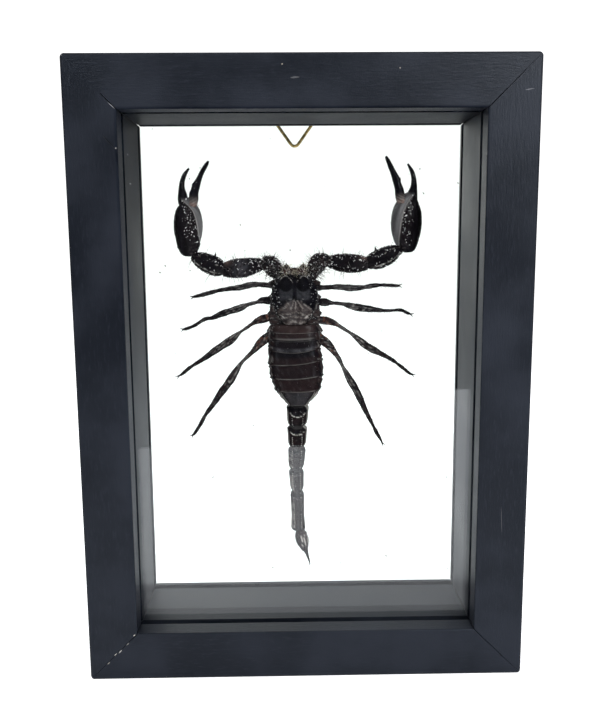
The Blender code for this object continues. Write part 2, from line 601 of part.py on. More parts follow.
def build_leg(name, girth, route):
    """A walking leg: stout thigh, thin neck, stout knee and shin, and a fine foot on the pane."""
    points = [world(x, depth, z) for (x, z), depth in zip(route, LEG_DEPTHS)]
    curve = bpy.data.curves.new(name, "CURVE")
    curve.dimensions = "3D"
    curve.bevel_depth = girth * MM
    curve.bevel_resolution = 2
    curve.use_fill_caps = True
    spline = curve.splines.new("POLY")
    spline.points.add(len(LEG_GIRTHS) - 1)
    for point, (place, share) in zip(spline.points, LEG_GIRTHS):
        point.co = (*along_route(points, place), 1)
        point.radius = share
    add_object(name, curve, "dark_shell" if name.endswith(("1", "2")) else "brown_shell")


def build_glue():
    """The clear dab that holds the belly to the back pane."""
    belly = (ABDOMEN_DEPTH + ABDOMEN_DROP) * MM
    pane = BACK_KERF_DEPTH + (KERF_WIDTH - GLASS_THICKNESS) / 2
    thickness = pane - belly - 2 * GAP
    mesh = cylinder_mesh("glue_pad", 1, thickness, GLUE_SIDES)
    for vertex in mesh.vertices:
        vertex.co.x *= GLUE_HALF_WIDTH
        vertex.co.y *= GLUE_HALF_HEIGHT
    item = add_object("glue_pad", mesh, "clear_glue")
    item.rotation_euler = (math.radians(-90), 0, 0)
    item.location = (GLUE_CENTRE[0], (belly + pane) / 2 - FRAME_DEPTH / 2, GLUE_CENTRE[1])


def build_scorpion():
    """The scorpion, parted at its natural joints."""
    build_head()
    build_abdomen()
    build_tail()
    limb("scorpion_stinger", STINGER, round_half(ROUND_STEPS + 1), "dark_shell")
    for side in ("left", "right"):
        limb("scorpion_jaw_" + side, JAWS[side], round_half(ROUND_STEPS), "brown_shell")
        limb("pincer_arm_" + side, ARMS[side], CORNERED_HALF, "dark_shell", 2, **ARM_KNOBS)
        limb("pincer_hand_" + side, HANDS[side], HAND_HALF, "dark_shell", 2, **HAND_KNOBS)
        limb("pincer_finger_" + side, FINGERS[side], round_half(ROUND_STEPS), "dark_shell")
    for name, (girth, route) in LEG_ROUTES.items():
        build_leg(name, girth, route)


clear_scene()
MODEL = new_collection("framed_scorpion")
CUTTERS = new_collection("cutters")
FRAME_RAILS = build_frame()
build_glass()
build_hanger(FRAME_RAILS["rail_top"])
build_scorpion()
build_glue()
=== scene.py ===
"""Looks of the framed scorpion specimen: fine shell detail, finishes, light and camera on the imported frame.

Tables are in millimetres as seen from the front: x to the right, z up, and depth counted back from the
frame's front face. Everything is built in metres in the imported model's frame.
"""

from __future__ import annotations

import logging
import math
from collections.abc import Callable, Sequence
from dataclasses import dataclass, field
from enum import Enum
from typing import NamedTuple

import bmesh
import bpy
from mathutils import Matrix, Vector, noise

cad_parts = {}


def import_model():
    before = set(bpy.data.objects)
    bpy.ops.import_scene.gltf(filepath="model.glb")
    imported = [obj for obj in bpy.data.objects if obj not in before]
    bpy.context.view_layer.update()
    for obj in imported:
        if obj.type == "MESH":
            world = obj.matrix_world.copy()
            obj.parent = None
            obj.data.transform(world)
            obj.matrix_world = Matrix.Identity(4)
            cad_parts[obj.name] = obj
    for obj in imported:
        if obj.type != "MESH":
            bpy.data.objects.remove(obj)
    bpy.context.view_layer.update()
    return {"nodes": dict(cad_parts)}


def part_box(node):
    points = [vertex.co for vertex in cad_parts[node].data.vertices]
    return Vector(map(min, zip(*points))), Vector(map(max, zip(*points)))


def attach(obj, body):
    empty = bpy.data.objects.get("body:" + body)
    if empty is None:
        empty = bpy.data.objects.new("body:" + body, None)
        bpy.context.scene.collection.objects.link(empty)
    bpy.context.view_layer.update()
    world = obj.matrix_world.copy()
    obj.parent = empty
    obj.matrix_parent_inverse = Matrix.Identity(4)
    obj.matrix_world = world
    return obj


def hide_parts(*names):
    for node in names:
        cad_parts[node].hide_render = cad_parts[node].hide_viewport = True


LOG = logging.getLogger("framed_scorpion")
MM = 0.001
HALF_DEPTH = 22.0
FRAME_BODY = "frame"

Colour = tuple[float, float, float]
Socket = bpy.types.NodeSocket
Station = tuple[float, float, float, float, float]
Half = Sequence[tuple[float, float]]


class Side(Enum):
    """Left and right as seen from the front, with the sign of x on that side."""

    LEFT = -1
    RIGHT = 1

    @property
    def word(self) -> str:
        """The side's name as the nodes spell it."""
        return self.name.lower()


class Slot(Enum):
    """Material slot names."""

    PAINT = "frame_paint"
    BRASS = "hanger_brass"
    GLUE = "glue"
    BLACK = "shell_black"
    BROWN = "shell_brown"


class Tone(NamedTuple):
    """What is painted at a point of the shell: shares of brown, of grey, which is partly painted sheen, and
    of pale, which is pale skin and painted highlights.
    """

    brown: float = 0.0
    grey: float = 0.0
    pale: float = 0.0


class Dress(NamedTuple):
    """How a point of the shell is finished: lift in millimetres, paint, and shares of growth and dullness."""

    lift: float = 0.0
    tone: Tone = Tone()
    granules: float = 0.0
    hairs: float = 0.0
    dull: float = 0.0


PLAIN = Dress()
# Gives the dress from share along, across, front, x and z.
Dresser = Callable[[float, float, float, float, float], Dress]
# A spike's girth along its length, and the sides of its section.
SPIKE_TAPER = ((0, 1), (0.3, 0.86), (0.6, 0.6), (0.85, 0.32), (1, 0.07))
SPIKE_SIDES = 7


def coat(tone: Tone, hairs: float = 0.0) -> Dresser:
    """A dresser that gives the same dress everywhere."""
    return lambda *_: Dress(tone=tone, hairs=hairs)


def at(x: float, depth: float, z: float) -> Vector:
    """A place in the millimetre tables, in the model's metres."""
    return Vector((x * MM, (depth - HALF_DEPTH) * MM, z * MM))


def spline(p0: float, p1: float, p2: float, p3: float, t: float) -> float:
    """A value between p1 and p2 on the smooth curve through four values."""
    return 0.5 * (2 * p1 + (p2 - p0) * t + (2 * p0 - 5 * p1 + 4 * p2 - p3) * t * t
                  + (3 * p1 - p0 - 3 * p2 + p3) * t * t * t)


def smooth_row(rows: Sequence[Sequence[float]], place: float) -> tuple[float, ...]:
    """A row on the smooth curve through a table's rows.

    Args:
        rows: rows of equal length.
        place: where along the table, counted in rows.

    Returns:
        The row of values at that place.
    """
    i = min(int(place), len(rows) - 2)
    near = [rows[min(max(k, 0), len(rows) - 1)] for k in range(i - 1, i + 3)]
    return tuple(spline(*values, place - i) for values in zip(*near))


def ramp(value: float, low: float, high: float) -> float:
    """A smooth step that is 0 at low and 1 at high."""
    t = min(max((value - low) / (high - low), 0.0), 1.0)
    return t * t * (3 - 2 * t)


def between(table: Sequence[tuple[float, float]], place: float) -> float:
    """A value read off a table of (place, value) pairs, straight from one pair to the next."""
    for (p0, v0), (p1, v1) in zip(table, table[1:]):
        if place <= p1:
            return v0 + (v1 - v0) * min(max((place - p0) / (p1 - p0), 0.0), 1.0)
    return table[-1][1]


def swell(value: float, centre: float, width: float) -> float:
    """A bell-shaped bump of height 1."""
    return math.exp(-((value - centre) / width) ** 2)


def ripple(x: float, z: float, size: float, layer: float = 0.37) -> float:
    """Smooth noise from -1 to 1, with ripples of about the given size in millimetres."""
    return noise.noise(Vector((x / size, z / size, layer)))


def ring_outline(half: Half, smooth: int) -> list[tuple[float, float]]:
    """A closed, smoothed section from its half.

    Args:
        half: (across, towards the viewer) from the back's middle to the belly's.
        smooth: points made from each given one.

    Returns:
        The whole section's points in order.
    """
    whole = list(half) + [(-across, front) for across, front in reversed(half[1:-1])]
    count = len(whole)
    result = []
    for i in range(count):
        near = [whole[(i + k) % count] for k in (-1, 0, 1, 2)]
        for step in range(smooth):
            result.append(tuple(spline(*values, step / smooth) for values in zip(*near)))
    return result


def round_half(steps: int) -> list[tuple[float, float]]:
    """Half of a round section."""
    return [(math.sin(math.pi * i / steps), math.cos(math.pi * i / steps)) for i in range(steps + 1)]


def linked(name: str, data: bpy.types.ID) -> bpy.types.Object:
    """A new object in the scene."""
    item = bpy.data.objects.new(name, data)
    bpy.context.scene.collection.objects.link(item)
    return item


def mesh_from(body: bmesh.types.BMesh, name: str) -> bpy.types.Mesh:
    """A finished BMesh as a mesh."""
    mesh = bpy.data.meshes.new(name)
    body.to_mesh(mesh)
    body.free()
    return mesh


def block(name: str, place: Matrix) -> bpy.types.Mesh:
    """A unit cube put in place and shape by a matrix."""
    body = bmesh.new()
    bmesh.ops.create_cube(body, size=1.0, matrix=place)
    return mesh_from(body, name)


def sheet(name: str, corners: Sequence[Vector]) -> bpy.types.Mesh:
    """A flat four-cornered sheet."""
    mesh = bpy.data.meshes.new(name)
    mesh.from_pydata(corners, [], [(0, 1, 2, 3)])
    return mesh


def baked(item: bpy.types.Object) -> bpy.types.Mesh:
    """An object's mesh with its modifiers applied. The object is removed."""
    bpy.context.view_layer.update()
    graph = bpy.context.evaluated_depsgraph_get()
    mesh = bpy.data.meshes.new_from_object(item.evaluated_get(graph), preserve_all_data_layers=True,
                                           depsgraph=graph)
    bpy.data.objects.remove(item, do_unlink=True)
    return mesh


class Shell:
    """Collects closed bodies and what is painted on them, and becomes one mesh."""

    def __init__(self) -> None:
        """Starts empty."""
        self.points: list[Vector] = []
        self.faces: list[tuple[int, ...]] = []
        self.dresses: list[Dress] = []

    def add(self, place: Vector, dress: Dress) -> int:
        """Adds one point and returns its number."""
        self.points.append(place)
        self.dresses.append(dress)
        return len(self.points) - 1

    def loft(self, rings: Sequence[Sequence[tuple[Vector, Dress]]]) -> None:
        """Adds a closed body through rings of equal counts, each end closed by a fan."""
        loops = [[self.add(place, dress) for place, dress in ring] for ring in rings]
        count = len(loops[0])
        for low, high in zip(loops, loops[1:]):
            for k in range(count):
                n = (k + 1) % count
                self.faces.append((low[k], low[n], high[n], high[k]))
        for ring, loop in ((rings[0], loops[0]), (rings[-1], loops[-1])):
            hub = self.add(sum((place for place, _ in ring), Vector()) / count, ring[0][1])
            self.faces.extend((hub, loop[k], loop[(k + 1) % count]) for k in range(count))

    def limb(self, route: Sequence[Station], half: Half, dresser: Dresser | None = None, between: int = 4,
             smooth: int = 3) -> None:
        """Adds a body along a route.

        Args:
            route: stations of x, z, depth, half width and half thickness.
            half: half of its section.
            dresser: gives the dress from share along, across, front, x and z.
            between: rings from one station to the next.
            smooth: points made from each point of the section.
        """
        outline = ring_outline(half, smooth)
        count = (len(route) - 1) * between
        stations = [smooth_row(route, i / between) for i in range(count + 1)]
        rings = []
        for i, (x, z, depth, width, thick) in enumerate(stations):
            before, after = stations[max(i - 1, 0)], stations[min(i + 1, count)]
            along = Vector((after[0] - before[0], after[1] - before[1])).normalized()
            ring = []
            for across, front in outline:
                reach = Vector((across * width, front * thick))
                px, pz = x - along.y * reach.x, z + along.x * reach.x
                dress = dresser(i / count, across, front, px, pz) if dresser else PLAIN
                reach += reach.normalized() * dress.lift
                place = at(x - along.y * reach.x, depth - reach.y, z + along.x * reach.x)
                ring.append((place, dress))
            rings.append(ring)
        self.loft(rings)

    def bead(self, centre: Vector, radii: Sequence[float], tone: Tone = Tone(), steps: int = 8) -> None:
        """Adds an egg-shaped bead with its radii in millimetres along x, depth and z."""
        rings = []
        for i in range(1, steps):
            turn = math.pi * i / steps
            ring = []
            for k in range(2 * steps):
                angle = math.pi * k / steps
                offset = (math.sin(turn) * math.cos(angle), math.cos(turn), math.sin(turn) * math.sin(angle))
                ring.append((centre + Vector([o * r * MM for o, r in zip(offset, radii)]), Dress(tone=tone)))
            rings.append(ring)
        self.loft(rings)

    def spike(self, base: Vector, tip: Vector, radius: float, tone: Tone = Tone(), bend: float = 0.0) -> None:
        """Adds a slender spike that bends away from the viewer by a share of its length."""
        axis = tip - base
        side = axis.normalized().cross(Vector((0, 1, 0))).normalized()
        other = axis.normalized().cross(side)
        rings = []
        for share, girth in SPIKE_TAPER:
            centre = base + axis * share + Vector((0, axis.length * bend * share * (1 - share) * 4, 0))
            ring = []
            for k in range(SPIKE_SIDES):
                angle = math.tau * k / SPIKE_SIDES
                out = (side * math.cos(angle) + other * math.sin(angle)) * radius * girth * MM
                ring.append((centre + out, Dress(tone=tone)))
            rings.append(ring)
        self.loft(rings)

    def mesh(self, name: str) -> bpy.types.Mesh:
        """The collected bodies as one smooth mesh with outward faces and its painted values."""
        mesh = bpy.data.meshes.new(name)
        mesh.from_pydata(self.points, [], self.faces)
        bm = bmesh.new()
        bm.from_mesh(mesh)
        bmesh.ops.recalc_face_normals(bm, faces=bm.faces)
        bm.to_mesh(mesh)
        bm.free()
        tones = mesh.attributes.new("tone", "FLOAT_COLOR", "POINT")
        tones.data.foreach_set("color", [part for dress in self.dresses for part in (*dress.tone, 1.0)])
        for share in ("granules", "hairs", "dull"):
            values = mesh.attributes.new(share, "FLOAT", "POINT")
            values.data.foreach_set("value", [float(getattr(dress, share)) for dress in self.dresses])
        mesh.shade_smooth()
        return mesh


class Graph:
    """Adds nodes to a tree and wires them."""

    def __init__(self, tree: bpy.types.NodeTree) -> None:
        """Works on one tree."""
        self.tree = tree

    def feed(self, node: bpy.types.Node, inputs: dict) -> None:
        """Links or sets a node's inputs, each given by its name or number."""
        for key, value in inputs.items():
            if isinstance(value, Socket):
                self.tree.links.new(value, node.inputs[key])
            else:
                node.inputs[key].default_value = value

    def node(self, kind: str, inputs: dict | None = None, **settings: object) -> bpy.types.Node:
        """Adds a node.

        Args:
            kind: the node's type.
            inputs: socket name or number, to a value or to the socket that feeds it.
            settings: the node's own properties.

        Returns:
            The new node.
        """
        made = self.tree.nodes.new(kind)
        for key, value in settings.items():
            setattr(made, key, value)
        self.feed(made, inputs or {})
        return made

    def math(self, operation: str, first: object, second: object, clamp: bool = False) -> Socket:
        """The result of a Math node."""
        node = self.node("ShaderNodeMath", {0: first, 1: second}, operation=operation, use_clamp=clamp)
        return node.outputs[0]

    def times(self, first: object, second: object, clamp: bool = False) -> Socket:
        """The product of two numbers."""
        return self.math("MULTIPLY", first, second, clamp)

    def plus(self, first: object, second: object) -> Socket:
        """The sum of two numbers."""
        return self.math("ADD", first, second)

    def less(self, first: object, second: object) -> Socket:
        """The first number less the second."""
        return self.math("SUBTRACT", first, second)

    def vector(self, operation: str, first: object, second: object) -> Socket:
        """The result of a Vector Math node."""
        return self.node("ShaderNodeVectorMath", {0: first, 1: second}, operation=operation).outputs[0]

    def joined(self, x: object, y: object, z: object) -> Socket:
        """A vector made of three numbers."""
        return self.node("ShaderNodeCombineXYZ", {0: x, 1: y, 2: z}).outputs[0]

    def span(self, value: object, low: float, high: float, start: float = 0.0, end: float = 1.0) -> Socket:
        """A value's place from low to high, as a smooth number from start to end."""
        inputs = {0: value, 1: low, 2: high, 3: start, 4: end}
        return self.node("ShaderNodeMapRange", inputs, interpolation_type="SMOOTHSTEP").outputs[0]

    def switch(self, share: object, first: float, second: float) -> Socket:
        """A number from first to second by a share."""
        return self.node("ShaderNodeMapRange", {0: share, 3: first, 4: second}).outputs[0]

    def mix(self, share: object, first: object, second: object) -> Socket:
        """Two colours mixed by a share, each a socket or a colour."""
        first, second = (part if isinstance(part, Socket) else (*part, 1.0) for part in (first, second))
        return self.node("ShaderNodeMix", {0: share, 6: first, 7: second}, data_type="RGBA").outputs[2]

    def noise(self, vector: object, scale: object, detail: float = 3.0, rough: float = 0.5) -> Socket:
        """Noise from 0 to 1 at a scale in waves per metre."""
        inputs = {"Vector": vector, "Scale": scale, "Detail": detail, "Roughness": rough}
        return self.node("ShaderNodeTexNoise", inputs).outputs[0]

    def bump(self, height: object, strength: float, distance: float, normal: Socket | None = None) -> Socket:
        """A normal raised by a height, over another normal if one is given."""
        inputs = {"Strength": strength, "Distance": distance, "Height": height}
        return self.node("ShaderNodeBump", inputs | ({"Normal": normal} if normal else {})).outputs[0]


FLOAT, VECTOR, INTEGER = "NodeSocketFloat", "NodeSocketVector", "NodeSocketInt"
SWITCH, FINISH, GEOMETRY = "NodeSocketBool", "NodeSocketMaterial", "NodeSocketGeometry"


def node_group(name: str, kind: str, inputs: dict[str, tuple[str, object]], outputs: dict[str, str]) -> tuple:
    """Starts a node group with named sockets.

    Args:
        name: the group's name.
        kind: its tree's type.
        inputs: each input's socket type and default.
        outputs: each output's socket type.

    Returns:
        The tree, its graph, the sockets that its inputs come in by, and its output node.
    """
    tree = bpy.data.node_groups.new(name, kind)
    for label, socket_type in outputs.items():
        tree.interface.new_socket(label, in_out="OUTPUT", socket_type=socket_type)
    for label, (socket_type, default) in inputs.items():
        socket = tree.interface.new_socket(label, in_out="INPUT", socket_type=socket_type)
        if default is not None:
            socket.default_value = default
    graph = Graph(tree)
    return tree, graph, graph.node("NodeGroupInput").outputs, graph.node("NodeGroupOutput")


@dataclass(frozen=True)
class Mark:
    """A scuff, dent or fleck on the paint, in millimetres: centre and radii are along x, depth and z."""

    centre: tuple[float, float, float]
    radii: tuple[float, float, float]
    turn: float = 0.0
    colour: Colour = (0.11, 0.10, 0.10)
    sink: float = 0.0


@dataclass
class Effects:
    """Node groups that more than one finish places."""

    relief: bpy.types.NodeTree = field(init=False)
    specks: bpy.types.NodeTree = field(init=False)
    mark: bpy.types.NodeTree = field(init=False)

    def __post_init__(self) -> None:
        """Builds the groups."""
        self.relief = self._relief()
        self.specks = self._specks()
        self.mark = self._mark()

    @staticmethod
    def _relief() -> bpy.types.NodeTree:
        """Fine and broad unevenness along a stretched direction."""
        inputs = {"Vector": (VECTOR, None), "Stretch": (VECTOR, (1, 1, 1)), "Fine": (FLOAT, 900.0),
                  "Broad": (FLOAT, 60.0)}
        tree, graph, start, end = node_group("uneven_relief", "ShaderNodeTree", inputs,
                                             {"Height": FLOAT, "Drift": FLOAT})
        drawn = graph.vector("MULTIPLY", start["Vector"], start["Stretch"])
        graph.feed(end, {"Height": graph.noise(drawn, start["Fine"], 5.0, 0.62),
                         "Drift": graph.noise(start["Vector"], start["Broad"])})
        return tree

    @staticmethod
    def _specks() -> bpy.types.NodeTree:
        """Sparse ragged specks."""
        inputs = {"Vector": (VECTOR, None), "Size": (FLOAT, 1500.0), "Cover": (FLOAT, 0.3)}
        tree, graph, start, end = node_group("sparse_specks", "ShaderNodeTree", inputs, {"Mask": FLOAT})
        grains = graph.noise(start["Vector"], start["Size"], 2.0, 0.6)
        over = graph.less(grains, graph.less(0.86, start["Cover"]))
        graph.feed(end, {"Mask": graph.times(over, 14.0, clamp=True)})
        return tree

    @staticmethod
    def _mark() -> bpy.types.NodeTree:
        """One scuff, scratch or dent: a ragged oval at a place."""
        inputs = {"Vector": (VECTOR, None), "Centre": (VECTOR, (0, 0, 0)), "Turn": (VECTOR, (0, 0, 0)),
                  "Radii": (VECTOR, (0.001, 0.001, 0.001)), "Ragged": (FLOAT, 0.6)}
        tree, graph, start, end = node_group("single_mark", "ShaderNodeTree", inputs, {"Mask": FLOAT})
        moved = graph.vector("SUBTRACT", start["Vector"], start["Centre"])
        turned = graph.node("ShaderNodeVectorRotate", {"Vector": moved, "Rotation": start["Turn"]},
                            rotation_type="EULER_XYZ").outputs[0]
        scaled = graph.vector("DIVIDE", turned, start["Radii"])
        far = graph.node("ShaderNodeVectorMath", {0: scaled}, operation="LENGTH").outputs["Value"]
        rough = graph.times(graph.noise(start["Vector"], 2600.0, 2.0), start["Ragged"])
        graph.feed(end, {"Mask": graph.span(graph.plus(far, rough), 1.25, 0.8)})
        return tree

    def uneven(self, graph: Graph, where: Socket, fine: float, broad: float,
               stretch: Sequence[float] = (1.0, 1.0, 1.0)) -> tuple[Socket, Socket]:
        """Places the relief in a material and gives its fine height and broad drift."""
        inputs = {"Vector": where, "Stretch": stretch, "Fine": fine, "Broad": broad}
        made = graph.node("ShaderNodeGroup", inputs, node_tree=self.relief)
        return made.outputs["Height"], made.outputs["Drift"]

    def speckled(self, graph: Graph, where: Socket, size: float, cover: float) -> Socket:
        """Places the specks in a material and gives their mask."""
        inputs = {"Vector": where, "Size": size, "Cover": cover}
        return graph.node("ShaderNodeGroup", inputs, node_tree=self.specks).outputs["Mask"]

    def marked(self, graph: Graph, where: Socket, mark: Mark) -> Socket:
        """Places one mark in a material and gives its mask."""
        inputs = {"Vector": where, "Centre": at(*mark.centre), "Turn": (0, math.radians(mark.turn), 0),
                  "Radii": [radius * MM for radius in mark.radii]}
        return graph.node("ShaderNodeGroup", inputs, node_tree=self.mark).outputs["Mask"]


def start_material(name: str) -> tuple[bpy.types.Material, Graph, bpy.types.Node, bpy.types.NodeSocket]:
    """An empty Principled material.

    Args:
        name: the material's name.

    Returns:
        The material, its graph, its Principled shader and its Object coordinates.
    """
    material = bpy.data.materials.new(name)
    material.use_nodes = True
    graph = Graph(material.node_tree)
    shader = material.node_tree.nodes["Principled BSDF"]
    where = graph.node("ShaderNodeTexCoord").outputs["Object"]
    return material, graph, shader, where


@dataclass(frozen=True)
class SatinPaint:
    """Satin black paint, brushed along a rail over open-grained wood.

    Each row of shade is an axis, where on it the mirror is still full and where it is shaded, in millimetres.
    """

    effects: Effects
    upright: bool
    marks: tuple[Mark, ...] = ()
    shade: tuple[tuple[int, float, float], ...] = ()
    deep: Colour = (0.0032, 0.0046, 0.0084)
    worn: Colour = (0.0118, 0.0142, 0.0212)
    dust: Colour = (0.30, 0.28, 0.25)
    tint: Colour = (0.85, 0.91, 1.0)
    roughness: tuple[float, float] = (0.36, 0.52)
    mirror: float = 0.25
    shaded_share: float = 0.85
    grain: float = 0.16

    def material(self, name: str) -> bpy.types.Material:
        """The paint on one rail."""
        material, graph, shader, where = start_material(name)
        stretch = (1.0, 1.0, self.grain) if self.upright else (self.grain, 1.0, 1.0)
        height, drift = self.effects.uneven(graph, where, 1700.0, 34.0, stretch)
        fine = graph.noise(where, 5200.0, 2.0)
        colour = graph.mix(graph.span(drift, 0.36, 0.68), self.deep, self.worn)
        colour = graph.mix(graph.times(graph.span(height, 0.50, 0.74), 0.8), colour, self.worn)
        dust = self.effects.speckled(graph, where, 1900.0, 0.085)
        colour = graph.mix(graph.times(dust, 0.35), colour, self.dust)
        hollow = graph.plus(graph.times(height, 0.7), graph.times(fine, 0.3))
        for mark in self.marks:
            mask = self.effects.marked(graph, where, mark)
            colour = graph.mix(mask, colour, mark.colour)
            if mark.sink:
                hollow = graph.less(hollow, graph.times(mask, mark.sink))
        rough = graph.span(graph.plus(drift, graph.times(fine, 0.25)), 0.3, 0.95, *self.roughness)
        dim: object = self.shaded_share if self.shade else 0.0
        place = graph.node("ShaderNodeSeparateXYZ", {0: where})
        for axis, lit, shaded in self.shade:
            dim = graph.times(dim, graph.span(place.outputs[axis], lit * MM, shaded * MM))
        mirror = graph.times(self.mirror, graph.less(1.0, dim))
        graph.feed(shader, {"Base Color": colour, "Roughness": rough, "Specular IOR Level": mirror,
                            "Specular Tint": (*self.tint, 1.0), "Normal": graph.bump(hollow, 0.65, 0.00018)})
        return material


@dataclass(frozen=True)
class Chitin:
    """Dried glossy shell, coloured by the painted tone of each point, with some granule tops painted pale,
    for wear and as glints.
    """

    effects: Effects
    black: Colour = (0.0020, 0.0017, 0.0036)
    brown: Colour = (0.037, 0.018, 0.0165)
    red: Colour = (0.105, 0.036, 0.020)
    grey: Colour = (0.112, 0.110, 0.126)
    olive: Colour = (0.130, 0.100, 0.082)
    pale: Colour = (0.66, 0.61, 0.57)
    rubbed: Colour = (0.86, 0.84, 0.83)
    roughness: tuple[float, float] = (0.18, 0.42)
    mirror: float = 0.19
    dull_mirror: float = 0.02

    def material(self, name: str) -> bpy.types.Material:
        """The shell's material."""
        material, graph, shader, where = start_material(name)
        painted = graph.node("ShaderNodeAttribute", attribute_name="tone").outputs["Color"]
        brown, grey, pale = graph.node("ShaderNodeSeparateColor", {0: painted}).outputs
        height, drift = self.effects.uneven(graph, where, 3600.0, 330.0)
        warmth = graph.plus(brown, graph.times(drift, 0.5))
        warm = graph.mix(graph.span(warmth, 1.02, 1.3), self.brown, self.red)
        patch = graph.times(brown, graph.span(drift, 0.1, 0.6, 0.55, 1.0))
        colour = graph.mix(patch, self.black, warm)
        # film: the grey share as painted sheen, thinned where the fine relief is low, and turned olive where
        # the shell is brown.
        film = graph.times(grey, graph.span(height, 0.3, 0.7, 0.4, 1.0))
        colour = graph.mix(film, colour, graph.mix(brown, self.grey, self.olive))
        # The pale share: pale skin, and highlights painted in pale.
        colour = graph.mix(pale, colour, self.pale)
        pores = self.effects.speckled(graph, where, 4200.0, 0.17)
        colour = graph.mix(graph.times(pores, 0.14), colour, self.grey)
        # Granule tops painted pale: wear, and painted glints.
        top = graph.node("ShaderNodeAttribute", attribute_name="rubbed").outputs["Fac"]
        dull = graph.node("ShaderNodeAttribute", attribute_name="dull").outputs["Fac"]
        matt = graph.plus(graph.times(height, 0.55), graph.times(grey, 0.5))
        normal = graph.bump(drift, 0.30, 0.0006, graph.bump(height, 0.28, 0.00009))
        graph.feed(shader, {"Base Color": graph.mix(top, colour, self.rubbed), "Normal": normal,
                            "Roughness": graph.span(matt, 0.1, 0.9, *self.roughness),
                            "Specular IOR Level": graph.span(dull, 0.0, 1.0, self.mirror, self.dull_mirror)})
        return material


@dataclass(frozen=True)
class Bristle:
    """Stiff hairs or dust in two colours that change from one to the next."""

    dark: Colour
    light: Colour
    roughness: float = 0.45

    def material(self, name: str) -> bpy.types.Material:
        """The material of the hairs or the dust."""
        material, graph, shader, where = start_material(name)
        share = graph.span(graph.noise(where, 1400.0, 2.0), 0.35, 0.65)
        colour = graph.mix(share, self.dark, self.light)
        graph.feed(shader, {"Base Color": colour, "Roughness": self.roughness,
                            "Normal": graph.bump(graph.noise(where, 9000.0), 0.2, 0.00002)})
        return material


@dataclass(frozen=True)
class Brass:
    """Thin rolled brass, a little tarnished."""

    effects: Effects
    bright: Colour = (0.62, 0.44, 0.17)
    dull: Colour = (0.17, 0.125, 0.035)

    def material(self, name: str) -> bpy.types.Material:
        """The brass's material."""
        material, graph, shader, where = start_material(name)
        height, drift = self.effects.uneven(graph, where, 4200.0, 420.0, (0.2, 1.0, 1.0))
        spots = self.effects.speckled(graph, where, 1500.0, 0.26)
        colour = graph.mix(graph.span(drift, 0.35, 0.7), self.bright, self.dull)
        graph.feed(shader, {"Base Color": graph.mix(spots, colour, self.dull), "Metallic": 1.0,
                            "Roughness": graph.span(height, 0.25, 0.8, 0.22, 0.46),
                            "Normal": graph.bump(height, 0.18, 0.00004)})
        return material


@dataclass(frozen=True)
class ClearPane:
    """Clear float glass that reflects by angle, with a faint film of dust."""

    effects: Effects
    index: float = 1.5
    tint: Colour = (0.985, 0.995, 0.990)
    film: Colour = (0.80, 0.80, 0.79)
    film_share: float = 0.0006

    def material(self, name: str) -> bpy.types.Material:
        """One pane's material."""
        material, graph, shader, where = start_material(name)
        graph.tree.nodes.remove(shader)
        inside = graph.node("ShaderNodeNewGeometry").outputs["Backfacing"]
        index = graph.switch(inside, self.index, 1 / self.index)
        mirror_share = graph.node("ShaderNodeFresnel", {"IOR": index}).outputs[0]
        through = graph.node("ShaderNodeBsdfTransparent", {"Color": (*self.tint, 1.0)}).outputs[0]
        mirror = graph.node("ShaderNodeBsdfAnisotropic", {"Color": (1, 1, 1, 1), "Roughness": 0.0}).outputs[0]
        haze = graph.node("ShaderNodeBsdfDiffuse", {"Color": (*self.film, 1.0)}).outputs[0]
        height, drift = self.effects.uneven(graph, where, 160.0, 22.0, (1.0, 1.0, 0.4))
        dust = graph.times(graph.span(graph.times(drift, height), 0.2, 0.5), self.film_share)
        glass = graph.node("ShaderNodeMixShader", {0: mirror_share, 1: through, 2: mirror}).outputs[0]
        whole = graph.node("ShaderNodeMixShader", {0: dust, 1: glass, 2: haze}).outputs[0]
        graph.feed(graph.tree.nodes["Material Output"], {"Surface": whole})
        return material


@dataclass(frozen=True)
class SetGlue:
    """A clear blob of set glue with small bubbles."""

    effects: Effects
    colour: Colour = (0.78, 0.74, 0.62)
    bubble: Colour = (0.5, 0.46, 0.36)
    clearness: float = 0.65

    def material(self, name: str) -> bpy.types.Material:
        """The glue's material."""
        material, graph, shader, where = start_material(name)
        height, drift = self.effects.uneven(graph, where, 1400.0, 420.0)
        bubbles = self.effects.speckled(graph, where, 1600.0, 0.3)
        graph.feed(shader, {"Base Color": graph.mix(bubbles, self.colour, self.bubble),
                            "Roughness": graph.span(drift, 0.2, 0.8, 0.12, 0.35),
                            "Normal": graph.bump(height, 0.3, 0.0002), "Transmission Weight": self.clearness})
        return material


def growth_tree(name: str, inputs: dict[str, tuple[str, object]]) -> tuple:
    """Starts a Geometry Nodes tree that takes and gives geometry; see node_group."""
    inputs = {"Geometry": (GEOMETRY, None), **inputs}
    return node_group(name, "GeometryNodeTree", inputs, {"Geometry": GEOMETRY})


